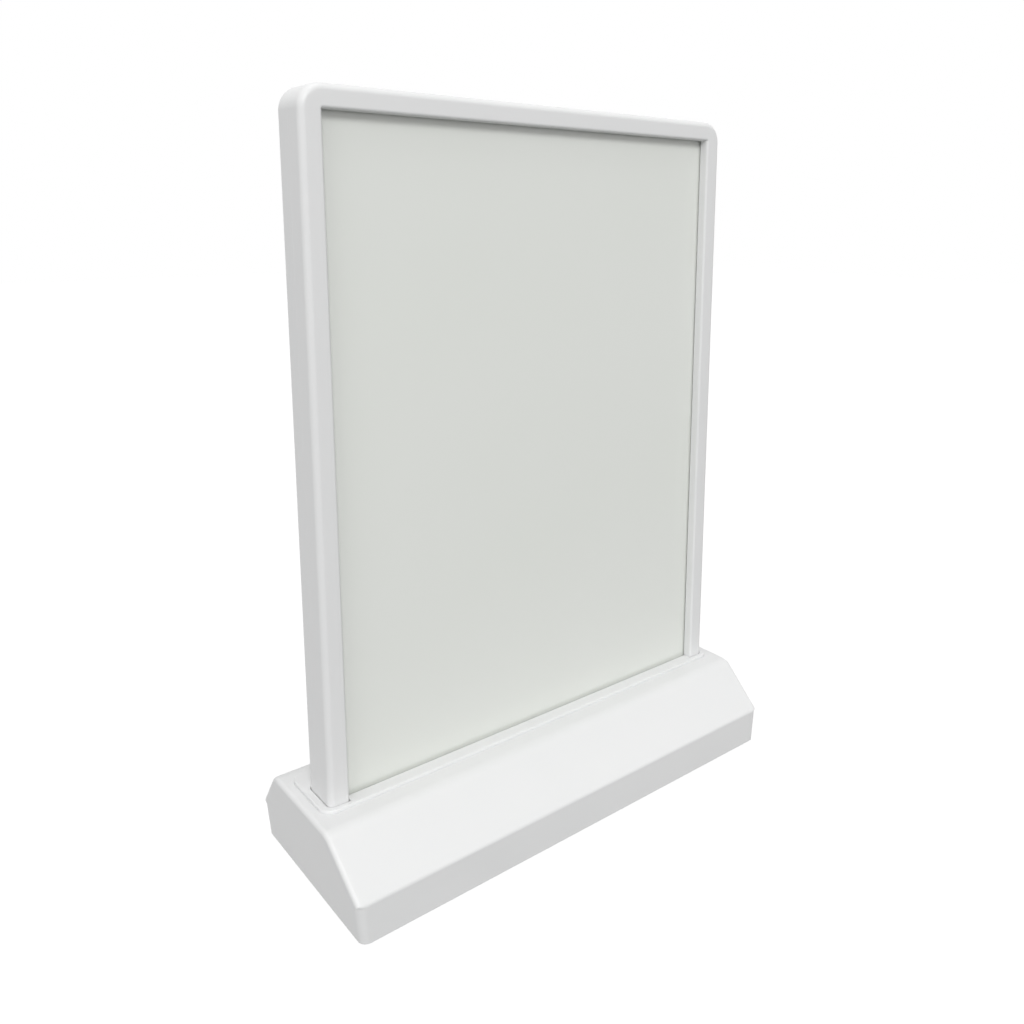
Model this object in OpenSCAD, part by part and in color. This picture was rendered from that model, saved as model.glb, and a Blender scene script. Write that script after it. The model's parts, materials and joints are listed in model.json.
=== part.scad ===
// Tabletop light panel: a framed, edge-lit sheet panel that plugs into a sloped base.
// Origin: centre of the footprint on the table. +Z up, front face towards -Y. Millimetres.

/* [Overall] */
// Height from the table to the top of the frame
overall_h = 325; // [300:1:360]
// Width of the base along its flat top, its widest place
base_w = 240; // [216:1:270]
// Depth of the base from the front lip to the back lip
base_d = 91; // [88:1:110]

/* [Base housing] */
// Height of the flat top of the base above the table
base_h = 37.6; // [36:0.1:42]
// Height of the upright lip along the front and the back
lip_h = 17.8; // [17:0.1:20]
// Distance of the flat top's front edge from the middle, before it is blended
plateau_front = 22.5; // [21.5:0.1:26]
// Distance of the flat top's back edge from the middle, before it is blended
plateau_back = 29; // [28.5:0.1:32]
// How far each end leans in between the flat top and the table
end_lean = 3; // [0:0.1:4]
// Radius of the blend between the flat top and the slopes
plateau_r = 9; // [4:0.5:10]
// Radius of the edge between a lip and its slope
lip_r = 2.5; // [1:0.1:4]
// Radius of the edges round each end
end_r = 3.2; // [2.6:0.1:4.5]
// Wall of the housing
wall = 2.4; // [2:0.1:2.5]
// Thickness of the ribs inside the housing and the frame
rib_t = 1.6; // [1:0.1:2.5]
// Distance of the outer back ribs from the ends of the base
rib_inset = 20; // [18:1:24]
// Distance from one back rib to the next
rib_pitch = 33; // [30:1:36]
// Space between the collar and the ribs
rib_gap = 9; // [8:0.5:12]
// Space between the ribs and the bottom cover
rib_lift = 6; // [5:0.5:10]
// Wall of a screw boss round its hole
boss_wall = 2; // [1.5:0.1:2.5]
// Distance of the corner bosses from the inside of the ends
boss_inset_x = 7.5; // [6:0.5:9]
// Distance of the corner bosses from the inside of the lips
boss_inset_y = 7; // [6:0.5:9]
// Distance of the middle bosses from the inside of the lips
mid_boss_inset = 4.6; // [4:0.1:5.5]

/* [Bottom cover] */
// Thickness of the bottom cover
cover_plate_t = 2.2; // [2:0.1:2.8]
// Gap round the bottom cover
cover_plate_gap = 0.3; // [0.15:0.05:0.5]
// Corner radius of the bottom cover
cover_plate_r = 1.5; // [0.5:0.1:3]
// Height of the stiffening ribs on the bottom cover
cover_rib_h = 4; // [2:0.5:6]
// Distance of those ribs from the middle
cover_rib_y = 7; // [6:0.5:9]
// Distance of the rib ends from the ends of the cover
cover_rib_inset = 35; // [25:1:60]
// Diameter of the posts that prop the socket's floor
post_d = 9; // [6:0.5:9]
// Distance of those posts from the middle
post_x = 45; // [40:1:46]
// Diameter of a rubber foot
foot_d = 12; // [9:0.5:14]
// How far a rubber foot stands out below the base
foot_h = 0.8; // [0.6:0.1:1.6]
// How far a rubber foot is let into the bottom cover
foot_seat = 0.8; // [0.4:0.1:1.2]
// Gap round a rubber foot in its seat
foot_gap = 0.15; // [0.05:0.05:0.3]
// Bevel round the sole of a rubber foot
foot_bevel = 0.5; // [0.2:0.1:0.8]
// Distance of the feet from the ends of the base
foot_inset_x = 25; // [23:1:40]
// Distance of the feet from the lips of the base
foot_inset_y = 13.5; // [12:0.5:16]

/* [Socket collar] */
// Width of the flat top between the frame and each end of the base
end_land = 8.1; // [7.4:0.05:9.4]
// Width of the collar's rim in front of the frame
collar_margin = 2.6; // [2:0.1:3]
// Width of the collar's rim at each end of the frame
collar_end = 3.4; // [2.6:0.1:3.6]
// Width of the collar's rim behind the frame
collar_back = 12.3; // [10:0.1:12.5]
// How far the collar stands above the flat top
collar_rise = 1.4; // [0.6:0.1:2]
// Corner radius of the collar
collar_r = 6; // [4:0.5:8]
// Rounding of the collar's upper edge
collar_edge_r = 0.5; // [0.2:0.1:0.8]
// Fine seam between the collar and the housing
seam_gap = 0.15; // [0.1:0.05:0.3]
// Depth of the socket below the flat top
socket_depth = 19.2; // [16:0.1:20]
// Wall and floor of the socket
socket_wall = 2; // [1.6:0.1:2.4]
// Clearance between the frame and its socket
socket_clear = 0.3; // [0.2:0.05:0.5]
// Thickness of the flange that holds the collar under the flat top
flange_t = 2.2; // [1.6:0.1:3]
// Gap between that flange and the underside of the flat top
flange_gap = 0.2; // [0.1:0.05:0.4]
// How far the flange reaches past the collar at the front and the back
flange_lap = 3; // [2:0.1:4]
// How much shorter the flange is than the collar at each end
flange_short = 2; // [1.5:0.1:4]
// Corner radius of the flange
flange_r = 2; // [1:0.1:3]
// Distance of the collar's screws from the middle of the base
collar_screw_x = 60; // [40:1:80]
// Distance of the collar's screws from its sides
ear_offset = 2.8; // [2.75:0.05:3.5]
// Wall of the bosses and ears that take those screws
ear_wall = 1.2; // [1:0.1:1.2]
// Gap between a boss and its ear
ear_gap = 0.2; // [0.1:0.05:0.25]

/* [Frame] */
// Depth of the frame, both halves together
frame_t = 20; // [18:0.5:21]
// Width of the bezel
bezel = 9.05; // [8.5:0.05:11]
// Radius of the window's upper corners, inside the bezel
window_r = 0.5; // [0.2:0.1:2]
// Rounding of the frame's outer edges
edge_r = 2.8; // [1.5:0.1:3.5]
// Rounding of the bezel's inner edge
bezel_edge_r = 0.6; // [0.3:0.1:0.8]
// Wall of the frame
frame_wall = 2.2; // [1.8:0.1:2.4]
// Thickness of the bezel's return towards the panel
return_t = 1.8; // [1.4:0.1:2.2]
// Fine groove along the parting line, on each half
parting = 0.15; // [0.05:0.05:0.3]
// Ribs inside each post of the frame
post_ribs = 4; // [2:1:6]
// Ribs inside the top rail of the frame
rail_ribs = 3; // [2:1:5]
// Diameter of the pegs that locate the halves
peg_d = 2; // [1.5:0.1:2.4]
// How far a peg reaches into the rear half
peg_l = 3; // [2:0.5:5]
// Gap between a peg's boss and the walls beside it
boss_gap = 0.1; // [0.05:0.05:0.3]
// Space between the ledge and the bosses of the frame's screws
foot_boss_gap = 1; // [0.5:0.1:2]
// Thickness of the hidden bar that ties the posts together
tie_t = 1.2; // [1:0.1:1.4]
// Height of that bar
tie_h = 7; // [5:0.5:10]
// How far that bar reaches into each post
tie_lap = 1.6; // [1:0.1:1.7]
// Thickness of the ledge that carries the sheets
ledge_t = 2.6; // [2.2:0.1:3.5]

/* [Light panel] */
// Thickness of the light guide
guide_t = 4; // [3:0.5:5]
// Thickness of each diffuser
diffuser_t = 1; // [0.5:0.1:1.2]
// Thickness of each clear cover
cover_t = 1.5; // [1:0.1:2]
// Corner radius of the covers and diffusers
sheet_r = 1; // [0.5:0.1:2]
// Thickness of the reflecting tape round the light guide
tape_t = 0.3; // [0.1:0.05:0.4]
// How far the sheets reach behind the bezel at the sides
side_overlap = 2.3; // [1.5:0.1:2.5]
// How far the sheets reach behind the bezel at the top
top_overlap = 2; // [1.5:0.1:2.5]
// Gap between the bezel's return and the clear cover
cover_gap = 0.9; // [0.4:0.1:1.2]
// Clearance between the ribs and the sheets
sheet_clear = 0.3; // [0.1:0.05:0.5]

/* [Lamp strip] */
// Thickness of the lamp board
led_board_t = 1; // [0.8:0.1:1.2]
// Space between the lamp board's ends and the posts
led_board_gap = 1.2; // [1:0.1:3]
// Gap between the lamp board and the frame's ledge
ledge_gap = 0.4; // [0.3:0.1:0.8]
// Distance from one lamp to the next
led_pitch = 6.6; // [5:0.1:12]
// Length of the lamp board without lamps at each end
led_end = 7; // [6:0.5:12]
// Length of one lamp along the board
led_l = 2.8; // [2:0.1:3.5]
// Width of one lamp across the board
led_w = 2.2; // [1.6:0.1:2.6]
// Height of one lamp
led_h = 0.7; // [0.5:0.1:0.8]
// Diameter of the hole for the leads in the socket's floor
lead_hole_d = 5; // [4:0.5:6]
// Distance of that hole from the end of the lamp board
lead_hole_inset = 5; // [4:0.5:8]

/* [Controls] */
// Distance of the push button from the right end of the base
button_end = 76; // [70:1:80]
// Distance of the charge light from the right end of the base
pipe_end = 58; // [55:1:61]
// Distance of the charging socket from the right end of the base
usb_end = 44; // [43:1:46]
// Diameter of the push button
button_d = 7.6; // [6:0.1:8]
// Gap round the push button
button_gap = 0.3; // [0.2:0.05:0.4]
// Travel of the push button
button_travel = 1.2; // [0.5:0.1:1.3]
// How far the faces of the button and the charge light lie below the lip
face_set_back = 0.1; // [0:0.1:0.5]
// Rounding of the button's edge
button_edge_r = 0.5; // [0.2:0.1:1]
// Depth of the hollow in the button's face
button_hollow = 0.3; // [0.1:0.05:0.5]
// Diameter of the finger dish round the push button
dish_d = 11; // [10:0.1:11.4]
// Depth of the finger dish
dish_depth = 0.8; // [0.4:0.1:1]
// Thickness of the flange behind the push button
button_flange_t = 1.2; // [0.8:0.1:1.5]
// How far that flange reaches past the button
button_flange_lap = 1.2; // [0.8:0.1:1.3]
// Diameter of the button's stem
stem_d = 3; // [2.4:0.1:4]
// Length of the button's stem
stem_l = 2; // [1.5:0.1:2.5]
// Diameter of the charge light's pipe
pipe_d = 2.4; // [1.5:0.1:3]
// How far the pipe reaches inside the lip
pipe_reach = 3.9; // [3:0.1:4]
// How far the charging socket's mouth lies below the lip's face
usb_set_back = 0.8; // [0.4:0.1:1.2]
// Gap round the charging socket
usb_gap = 0.3; // [0.15:0.05:0.5]

/* [Control board] */
// Thickness of the control board
board_t = 1.6; // [1:0.1:1.6]
// Length of the board left of the button
board_left = 26; // [25:0.5:30]
// Length of the board right of the charging socket
board_right = 14; // [12:0.5:14]
// Depth of the board
board_d = 25.5; // [22:0.5:26]
// Gap between the board and the back lip
board_gap = 0.5; // [0.3:0.1:0.8]
// Width of the board's notch behind the button
notch_w = 14; // [11:0.5:16]
// Depth of that notch
notch_d = 3.5; // [3.5:0.1:4.5]
// Distance of the corner screw holes from the board's ends
board_hole_x = 4.5; // [4:0.1:5]
// Distance of the corner screw holes from the board's back edge
board_hole_y = 5; // [4:0.1:6]
// Place of the middle screw hole from the board's left end
board_mid_x = 34.5; // [34:0.5:35]
// Place of the middle screw hole from the board's front edge
board_mid_y = 12.5; // [12:0.5:13]

/* [Battery] */
// Diameter of a battery cell
cell_d = 18.4; // [14:0.1:19]
// Length of a battery cell
cell_l = 65; // [50:0.5:70]
// Space between the two cells
cell_gap = 11; // [10:0.5:14]
// Space between the cells and the front lip
cell_inset = 6; // [5.5:0.1:8]
// Floor of the battery cradle
cradle_t = 1.2; // [0.8:0.1:2]
// Gap between the cradle and the middle boss
cradle_gap = 0.3; // [0.1:0.05:0.6]
// Thickness of the cradle's end walls
cradle_end_t = 2; // [1.5:0.1:3]
// Height of the cradle's end walls
cradle_end_h = 12.9; // [8:0.1:14]
// Thickness of the saddles under the cells
saddle_t = 3; // [2:0.1:5]
// Height of the saddles
saddle_h = 5.5; // [3:0.1:7]
// Distance of the saddles from the ends of a cell
saddle_inset = 10.8; // [8:0.1:14]
// Thickness of the nickel tabs
tab_t = 0.3; // [0.15:0.05:0.5]
// Width of the nickel tabs
tab_w = 7; // [5:0.5:8]
// Clearance of a cell in its saddles
cell_clear = 0.05; // [0.02:0.01:0.2]
// Space for the lead at each end of the cells
lead_space = 2.3; // [2:0.1:3]
// Space between the cradle and the ribs beside it
cradle_rib_gap = 10; // [5:0.5:12]
// Diameter of the inner leads
lead_d = 1.3; // [1:0.1:1.6]
// Gap between a lead and what it lies on
lead_gap = 0.1; // [0.05:0.05:0.3]

/* [Fasteners] */
// Shank diameter of the screws in the base
screw_d = 2.6; // [2:0.1:2.6]
// Shank diameter of the screws in the frame
frame_screw_d = 2; // [1.6:0.1:2]
// Clearance of a screw, a peg or the light pipe in the hole that holds it
screw_clear = 0.05; // [0.02:0.01:0.1]
// Clearance of a screw in the piece that it holds
pass_clear = 0.2; // [0.1:0.05:0.25]
// Height of a pan head
head_h = 1.5; // [1:0.1:1.6]
// How far a pan head reaches past its hole
head_lap = 0.6; // [0.4:0.1:0.8]
// How far a countersunk head lies below the bottom cover's face
flush_depth = 0.1; // [0.05:0.05:0.2]
// How far the bottom cover's screws bite
cover_bite = 8; // [5:0.5:9]
// How far the control board's screws bite
board_bite = 5; // [3:0.5:5]
// How far the collar's screws bite above its flange
collar_bite = 1; // [0.5:0.1:1]
// How far the frame's screws bite
frame_bite = 5; // [3:0.5:6]
// Spare depth at the end of a blind hole
hole_end = 0.3; // [0.1:0.1:0.3]
// Gap under a pan head
head_gap = 0.05; // [0.02:0.01:0.1]

/* [Hidden] */
$fn = 48;

// Colours
white_abs = "#ECECEA";
grey_abs = "#C9CBCB";
clear_sheet = "#DDE6E0";
milky_sheet = "#E4E8E2";
board_green = "#2F6B47";
steel = "#B9BCBE";
black_part = "#2B2C2E";
red_lead = "#B4322B";

// Small margins: what overlaps to fuse, what runs past to cut, and a slice of the base's form
fuse = 0.5;
past = 1;
slice_t = 0.01;

// Charging socket, a bought part
usb_w = 8.94;
usb_h = 3.26;
usb_l = 7.3;
usb_skin = 0.3;
usb_floor = 1;
tongue_w = 6.7;
tongue_t = 0.7;
tongue_set_back = 0.8;

// Push switch, a bought part
switch_w = 6;
switch_l = 3.7;
switch_spare = 0.5;
plunger_d = 2;
plunger_seat = 1;
plunger_gap = 0.1;

// Other parts bought for the control board
chip = [6, 5, 1.6];
coil = [6, 6, 3];
resistor = [2, 1.25, 0.9];
resistor_count = 4;
resistor_pitch = 4;
capacitor_d = 6.3;
capacitor_h = 5.4;
charge_lamp = [2, 1.2, 2.4];
charge_lamp_gap = 0.1;
chip_offset = 2;
coil_offset = 9;
resistor_offset = 7;
capacitor_offset = 14;
parts_row_inset = 10.2;
lead_pad_inset = 13;

// Tip of a battery cell
cell_tip_d = 8.3;
cell_tip_h = 1;

// Base: heights and faces
rim_z = foot_h;
inside_z = foot_h + cover_plate_t;
ceiling_z = base_h - wall;
inner_y = base_d / 2 - wall;
foot_half_w = base_w / 2 - end_lean;
lean_z = base_h - end_r;
lean_angle = atan(end_lean / lean_z);
profile_low = -3 * end_r;
profile_steps = 6;
end_steps = 4;
least_r = 0.4;

// Frame
frame_w = base_w - 2 * end_land;
corner_r = bezel + window_r;
stack_t = guide_t + 2 * (diffuser_t + cover_t);
recess = (frame_t - stack_t) / 2;
return_depth = recess - cover_gap;
tie_y = stack_t / 2 + sheet_clear;
rib_reach = bezel - side_overlap - sheet_clear;
boss_u = (frame_wall + rib_reach) / 2;
boss_r = (rib_reach - frame_wall) / 2 - boss_gap;
post_top = overall_h - corner_r;
frame_head_d = frame_screw_d + 2 * (pass_clear + head_lap);
frame_seat = head_h + 2 * head_gap;

// Collar and socket
collar_hx = frame_w / 2 + collar_end;
collar_y0 = -frame_t / 2 - collar_margin;
collar_y1 = frame_t / 2 + collar_back;
collar_y = (collar_y0 + collar_y1) / 2;
collar_hy = (collar_y1 - collar_y0) / 2;
collar_top = base_h + collar_rise;
floor_z = base_h - socket_depth;
well_z = floor_z - socket_wall;
flange_top = ceiling_z - flange_gap;
flange_low = flange_top - flange_t;
front_ear_y = collar_y0 - ear_offset;
back_ear_y = collar_y1 + ear_offset;
ear_boss_r = screw_d / 2 + ear_wall;
ear_r = ear_boss_r + ear_gap + ear_wall;

// Sheets
sheet_w = frame_w - 2 * (bezel - side_overlap);
sheet_z = floor_z + ledge_t;
sheet_top = overall_h - bezel + top_overlap;

// Lamp board
led_board_l = frame_w - 2 * (bezel + led_board_gap);
led_board_w = guide_t;
led_count = floor((led_board_l - 2 * led_end) / led_pitch);
lead_hole_x = led_board_l / 2 - lead_hole_inset;

// Places on the back lip
io_z = (rim_z + lip_h) / 2;
button_x = base_w / 2 - button_end;
pipe_x = base_w / 2 - pipe_end;
usb_x = base_w / 2 - usb_end;
usb_mouth_y = base_d / 2 - usb_set_back;
usb_back_y = usb_mouth_y - usb_l;
face_y = base_d / 2 - face_set_back;
stem_y = inner_y - button_flange_t - stem_l;
switch_y = stem_y - button_travel - switch_spare;

// Control board
board_top = io_z - usb_h / 2;
board_low = board_top - board_t;
board_x0 = button_x - board_left;
board_x1 = usb_x + board_right;
board_y1 = inner_y - board_gap;
board_y0 = board_y1 - board_d;
board_holes = [[board_x0 + board_hole_x, board_y1 - board_hole_y],
               [board_x1 - board_hole_x, board_y1 - board_hole_y],
               [board_x0 + board_mid_x, board_y0 + board_mid_y]];
lead_z = board_top + lead_d / 2 + lead_gap;

// Bosses and holes for the bottom cover's screws
boss_d = screw_d + 2 * boss_wall;
bite_d = screw_d + 2 * screw_clear;
pass_d = screw_d + 2 * pass_clear;
mid_boss_y = inner_y - mid_boss_inset;
cover_holes = [for (sx = [-1, 1], sy = [-1, 1])
                   [sx * (foot_half_w - wall - boss_inset_x), sy * (inner_y - boss_inset_y)],
               [0, mid_boss_y], [0, -mid_boss_y]];

// Battery
cell_y = -(inner_y - cell_inset - cell_d / 2);
cell_z = inside_z + cradle_t + cell_d / 2;
cell_x = (cell_l + cell_gap) / 2;
cell_end_x = cell_x + cell_l / 2;
cradle_hx = cell_end_x + tab_t + lead_space + cradle_end_t;
cradle_front_y = mid_boss_y - boss_d / 2 - cradle_gap;
cradle_d = 2 * (cradle_front_y + cell_y);

function unit(v) = v / norm(v);
function turned(v, a) = [v.x * cos(a) - v.y * sin(a), v.x * sin(a) + v.y * cos(a)];

// Points of a round corner at b, on the way from a to c, turning left
function round_corner(a, b, c, r) =
    let (u = unit(a - b), w = unit(c - b), half = acos(u * w) / 2,
         centre = b + unit(u + w) * r / sin(half), from = b + u * r / tan(half) - centre)
    [for (i = [0:profile_steps]) centre + turned(from, (180 - 2 * half) * i / profile_steps)];

// Side view of the base: lip, slope, flat top, slope, lip
base_corners = [[base_d / 2, profile_low], [base_d / 2, lip_h], [plateau_back, base_h],
                [-plateau_front, base_h], [-base_d / 2, lip_h], [-base_d / 2, profile_low]];
base_profile = [base_corners[0],
                for (i = [1:4])
                    each round_corner(base_corners[i - 1], base_corners[i], base_corners[i + 1],
                                      i == 1 || i == 4 ? lip_r : plateau_r),
                base_corners[5]];

// A thin slice of the base across its width, leaning with the end
module base_slice(half_w, inset) {
    translate([half_w - slice_t, 0, lean_z]) rotate([0, lean_angle, 0]) translate([0, 0, -lean_z])
        rotate([90, 0, 90]) linear_extrude(slice_t) offset(delta = -inset) polygon(base_profile);
}

// The whole form of the base, drawn in by inset on every side
module base_form(inset) {
    r = max(end_r - inset, least_r);
    hull() for (side = [0, 1]) mirror([side, 0, 0]) for (i = [0:end_steps])
        let (a = 90 * i / end_steps)
        base_slice(base_w / 2 - inset - r * (1 - sin(a)), inset + r * (1 - cos(a)));
}

module round_rect(hx, hy, r) {
    square([2 * hx, 2 * (hy - r)], center = true);
    square([2 * (hx - r), 2 * hy], center = true);
    for (x = [r - hx, hx - r], y = [r - hy, hy - r]) translate([x, y]) circle(r);
}

module slab(hx, hy, r, z0, z1) {
    translate([0, 0, z0]) linear_extrude(z1 - z0) round_rect(hx, hy, r);
}

// A box that stands centred on the origin
module block(size) {
    translate([-size.x / 2, -size.y / 2, 0]) cube(size);
}

// Half of a plate's section, from its middle to a round upper edge
module soft_half(w, h, e) {
    square([w, h - e]);
    square([w - e, h]);
    translate([w - e, h - e]) circle(e);
}

// A plate with round corners and a round upper edge
module soft_plate(hx, hy, r, h, e) {
    for (side = [0, 1]) {
        mirror([side, 0, 0]) rotate([90, 0, 0])
            linear_extrude(2 * (hy - r), center = true) soft_half(hx, h, e);
        mirror([0, side, 0]) rotate([90, 0, 90])
            linear_extrude(2 * (hx - r), center = true) soft_half(hy, h, e);
    }
    for (x = [r - hx, hx - r], y = [r - hy, hy - r]) translate([x, y, 0])
        rotate_extrude() soft_half(r, h, e);
}

// A bar along Y between two depths
module along_y(x, z, r, y0, y1) {
    translate([x, y1, z]) rotate([90, 0, 0]) cylinder(r = r, h = y1 - y0);
}

// A flat oval across X, swept along Y
module oval_y(x, z, w, h, y0, y1) {
    translate([x, y1, z]) rotate([90, 0, 0]) linear_extrude(y1 - y0) {
        square([w - h, h], center = true);
        for (s = [-1, 1]) translate([s * (w - h) / 2, 0]) circle(h / 2);
    }
}

// A pan head screw pointing up from its head, with a cross recess as a share of the head
module screw(d, l, head_d) {
    cross_l = 0.6 * head_d;
    cross_w = 0.16 * head_d;
    difference() {
        union() {
            cylinder(d = d, h = l);
            translate([0, 0, -head_h]) cylinder(d = head_d, h = head_h);
        }
        for (a = [0, 90]) rotate(a) translate([0, 0, -head_h])
            cube([cross_l, cross_w, head_h], center = true);
    }
}

// A countersunk screw pointing up, its face at the origin, with a cross recess as a share of the shank
module flush_screw(d, l) {
    cross = [1.2, 0.32, 0.6] * d;
    difference() {
        rotate_extrude() polygon([[0, 0], [d, 0], [d / 2, d / 2], [d / 2, l], [0, l]]);
        for (a = [0, 90]) rotate(a) cube(cross, center = true);
    }
}

// A direction that no wire runs along
wire_side = [0.31, 0.17, 0.94];

// Points of a smooth wire through its route
function spline(p, i, t) =
    let (a = p[max(i - 1, 0)], b = p[i], c = p[i + 1], d = p[min(i + 2, len(p) - 1)])
    0.5 * (2 * b + (c - a) * t + (2 * a - 5 * b + 4 * c - d) * t * t + (3 * b - a - 3 * c + d) * t * t * t);
function smooth_route(p, n) =
    [for (i = [0:len(p) - 2], k = [0:n - 1]) spline(p, i, k / n), p[len(p) - 1]];
function wire_ring(p, i, r, sides) =
    let (t = unit(p[min(i + 1, len(p) - 1)] - p[max(i - 1, 0)]),
         u = unit(cross(t, wire_side)), v = cross(t, u))
    [for (k = [0:sides - 1]) p[i] + r * (u * cos(360 * k / sides) + v * sin(360 * k / sides))];

module wire(route) {
    sides = 8;
    p = smooth_route(route, 3);
    last = (len(p) - 1) * sides;
    polyhedron(
        [for (i = [0:len(p) - 1]) each wire_ring(p, i, lead_d / 2, sides)],
        [[for (k = [0:sides - 1]) k],
         [for (k = [sides - 1:-1:0]) last + k],
         for (i = [0:len(p) - 2], k = [0:sides - 1])
             let (a = i * sides + k, b = i * sides + (k + 1) % sides)
             each [[a, a + sides, b], [b, a + sides, b + sides]]]);
}

// Places that repeat: the rubber feet, and the collar's screws at a height

module foot_places() {
    for (x = [-1, 1], y = [-1, 1])
        translate([x * (foot_half_w - foot_inset_x), y * (base_d / 2 - foot_inset_y), rim_z]) children();
}

module ear_places(z, ys = [front_ear_y, back_ear_y]) {
    for (x = [-1, 1], y = ys) translate([x * collar_screw_x, y, z]) children();
}

// Base

module housing_bosses() {
    for (p = cover_holes) translate([p.x, p.y, inside_z]) cylinder(d = boss_d, h = base_h);
    for (p = board_holes) translate([p.x, p.y, board_top]) cylinder(d = boss_d, h = base_h);
    ear_places(flange_low) cylinder(r = ear_boss_r, h = base_h);
}

module housing_ribs() {
    back_x = foot_half_w - rib_inset;
    front_x = cradle_hx + cradle_rib_gap;
    for (x = [-back_x, rib_pitch - back_x, back_x])
        translate([x - rib_t / 2, collar_y1 + rib_gap, inside_z + rib_lift]) cube([rib_t, base_d, base_h]);
    for (x = [-front_x, front_x])
        translate([x - rib_t / 2, collar_y0 - rib_gap - base_d, inside_z + rib_lift])
            cube([rib_t, base_d, base_h]);
}

module base_housing() color(white_abs) {
    difference() {
        union() {
            difference() {
                base_form(0);
                base_form(wall);
            }
            intersection() {
                union() {
                    housing_bosses();
                    housing_ribs();
                }
                base_form(wall / 2);
            }
        }
        translate([-base_w, -base_d, rim_z - 2 * base_h]) cube([2 * base_w, 2 * base_d, 2 * base_h]);
        translate([0, collar_y, 0])
            slab(collar_hx + seam_gap, collar_hy + seam_gap, collar_r + seam_gap,
                 ceiling_z - past, base_h + past);
        for (p = cover_holes) translate([p.x, p.y, inside_z - past])
            cylinder(d = bite_d, h = past + flush_depth + cover_bite + hole_end);
        for (p = board_holes) translate([p.x, p.y, board_top - past])
            cylinder(d = bite_d, h = past + board_bite + hole_end);
        ear_places(flange_low - past) cylinder(d = bite_d, h = past + flange_t + collar_bite + hole_end);
        along_y(button_x, io_z, button_d / 2 + button_gap, inner_y - past, base_d / 2 + past);
        along_y(button_x, io_z, dish_d / 2, base_d / 2 - dish_depth, base_d / 2 + past);
        along_y(pipe_x, io_z, pipe_d / 2 + screw_clear, inner_y - past, base_d / 2 + past);
        oval_y(usb_x, io_z, usb_w + 2 * usb_gap, usb_h + 2 * usb_gap, inner_y - past, base_d / 2 + past);
    }
}

module bottom_cover() color(white_abs) {
    hx = foot_half_w - wall - cover_plate_gap;
    hy = inner_y - cover_plate_gap;
    rib_hx = hx - cover_rib_inset;
    difference() {
        union() {
            slab(hx, hy, cover_plate_r, rim_z, inside_z);
            for (y = [-1, 1]) translate([-rib_hx, y * cover_rib_y - rib_t / 2, inside_z - fuse])
                cube([2 * rib_hx, rib_t, cover_rib_h + fuse]);
            for (x = [-post_x, post_x]) translate([x, 0, inside_z - fuse])
                cylinder(d = post_d, h = well_z - inside_z + fuse);
        }
        for (p = cover_holes) translate([p.x, p.y, rim_z - past]) {
            cylinder(d = pass_d, h = cover_plate_t + 2 * past);
            cylinder(r1 = screw_d + flush_depth + past, r2 = flush_depth, h = screw_d + past);
        }
        foot_places() translate([0, 0, -past]) cylinder(d = foot_d + 2 * foot_gap, h = foot_seat + past);
    }
}

module rubber_feet() color("#3A3B3C") {
    foot_places() translate([0, 0, -foot_h]) rotate_extrude()
        polygon([[0, 0], [foot_d / 2 - foot_bevel, 0], [foot_d / 2, foot_bevel],
                 [foot_d / 2, foot_h + foot_seat], [0, foot_h + foot_seat]]);
}

module cover_screws() color(steel) {
    for (p = cover_holes) translate([p.x, p.y, rim_z + flush_depth])
        flush_screw(screw_d, cover_plate_t + cover_bite);
}

// Plan of the posts and the panel between them, grown by a clearance
module socket_plan(grow) {
    for (side = [0, 1]) mirror([side, 0]) translate([(frame_w - bezel) / 2, 0]) {
        round_rect(bezel / 2 + grow, frame_t / 2 + grow, edge_r + grow);
        translate([-bezel / 2 - grow, -frame_t / 2 - grow]) square([bezel / 2 + grow, frame_t + 2 * grow]);
    }
    square([frame_w - bezel, 2 * (tie_y + tie_t + grow)], center = true);
}

// Collar: plate with the socket, hollow behind it, and a flange notched for the back screws
module socket_collar() color(white_abs) {
    pocket_y0 = frame_t / 2 + socket_clear + socket_wall;
    pocket_y1 = collar_y1 - socket_wall;
    difference() {
        union() {
            translate([0, collar_y, flange_top - fuse])
                soft_plate(collar_hx, collar_hy, collar_r, collar_top - flange_top + fuse, collar_edge_r);
            translate([0, collar_y, 0])
                slab(collar_hx - flange_short, collar_hy + flange_lap, flange_r, flange_low, flange_top);
            ear_places(flange_low, [front_ear_y]) cylinder(r = ear_r, h = flange_t);
            translate([0, 0, well_z]) linear_extrude(flange_top - well_z)
                socket_plan(socket_clear + socket_wall);
        }
        translate([0, 0, floor_z]) linear_extrude(base_h) socket_plan(socket_clear);
        translate([0, (pocket_y0 + pocket_y1) / 2, flange_low - past])
            block([2 * (collar_hx - flange_short - collar_r), pocket_y1 - pocket_y0,
                   past + collar_top - socket_wall - flange_low]);
        ear_places(flange_low - past) cylinder(r = ear_boss_r + ear_gap, h = past + flange_t + flange_gap);
        translate([lead_hole_x, 0, well_z - past]) cylinder(d = lead_hole_d, h = socket_wall + 2 * past);
    }
}

module collar_screws() color(steel) {
    ear_places(flange_low - head_gap)
        screw(screw_d, flange_t + collar_bite, 2 * (ear_boss_r + ear_gap + head_lap));
}

// Lamp strip in the floor of the socket

module led_board() color("#F4F4F0") {
    translate([0, 0, floor_z]) block([led_board_l, led_board_w, led_board_t]);
}

module led_chips() color("#F2E6A0") {
    for (i = [0:led_count - 1])
        translate([(i - (led_count - 1) / 2) * led_pitch, 0, floor_z + led_board_t])
            block([led_l, led_w, led_h]);
}

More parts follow.
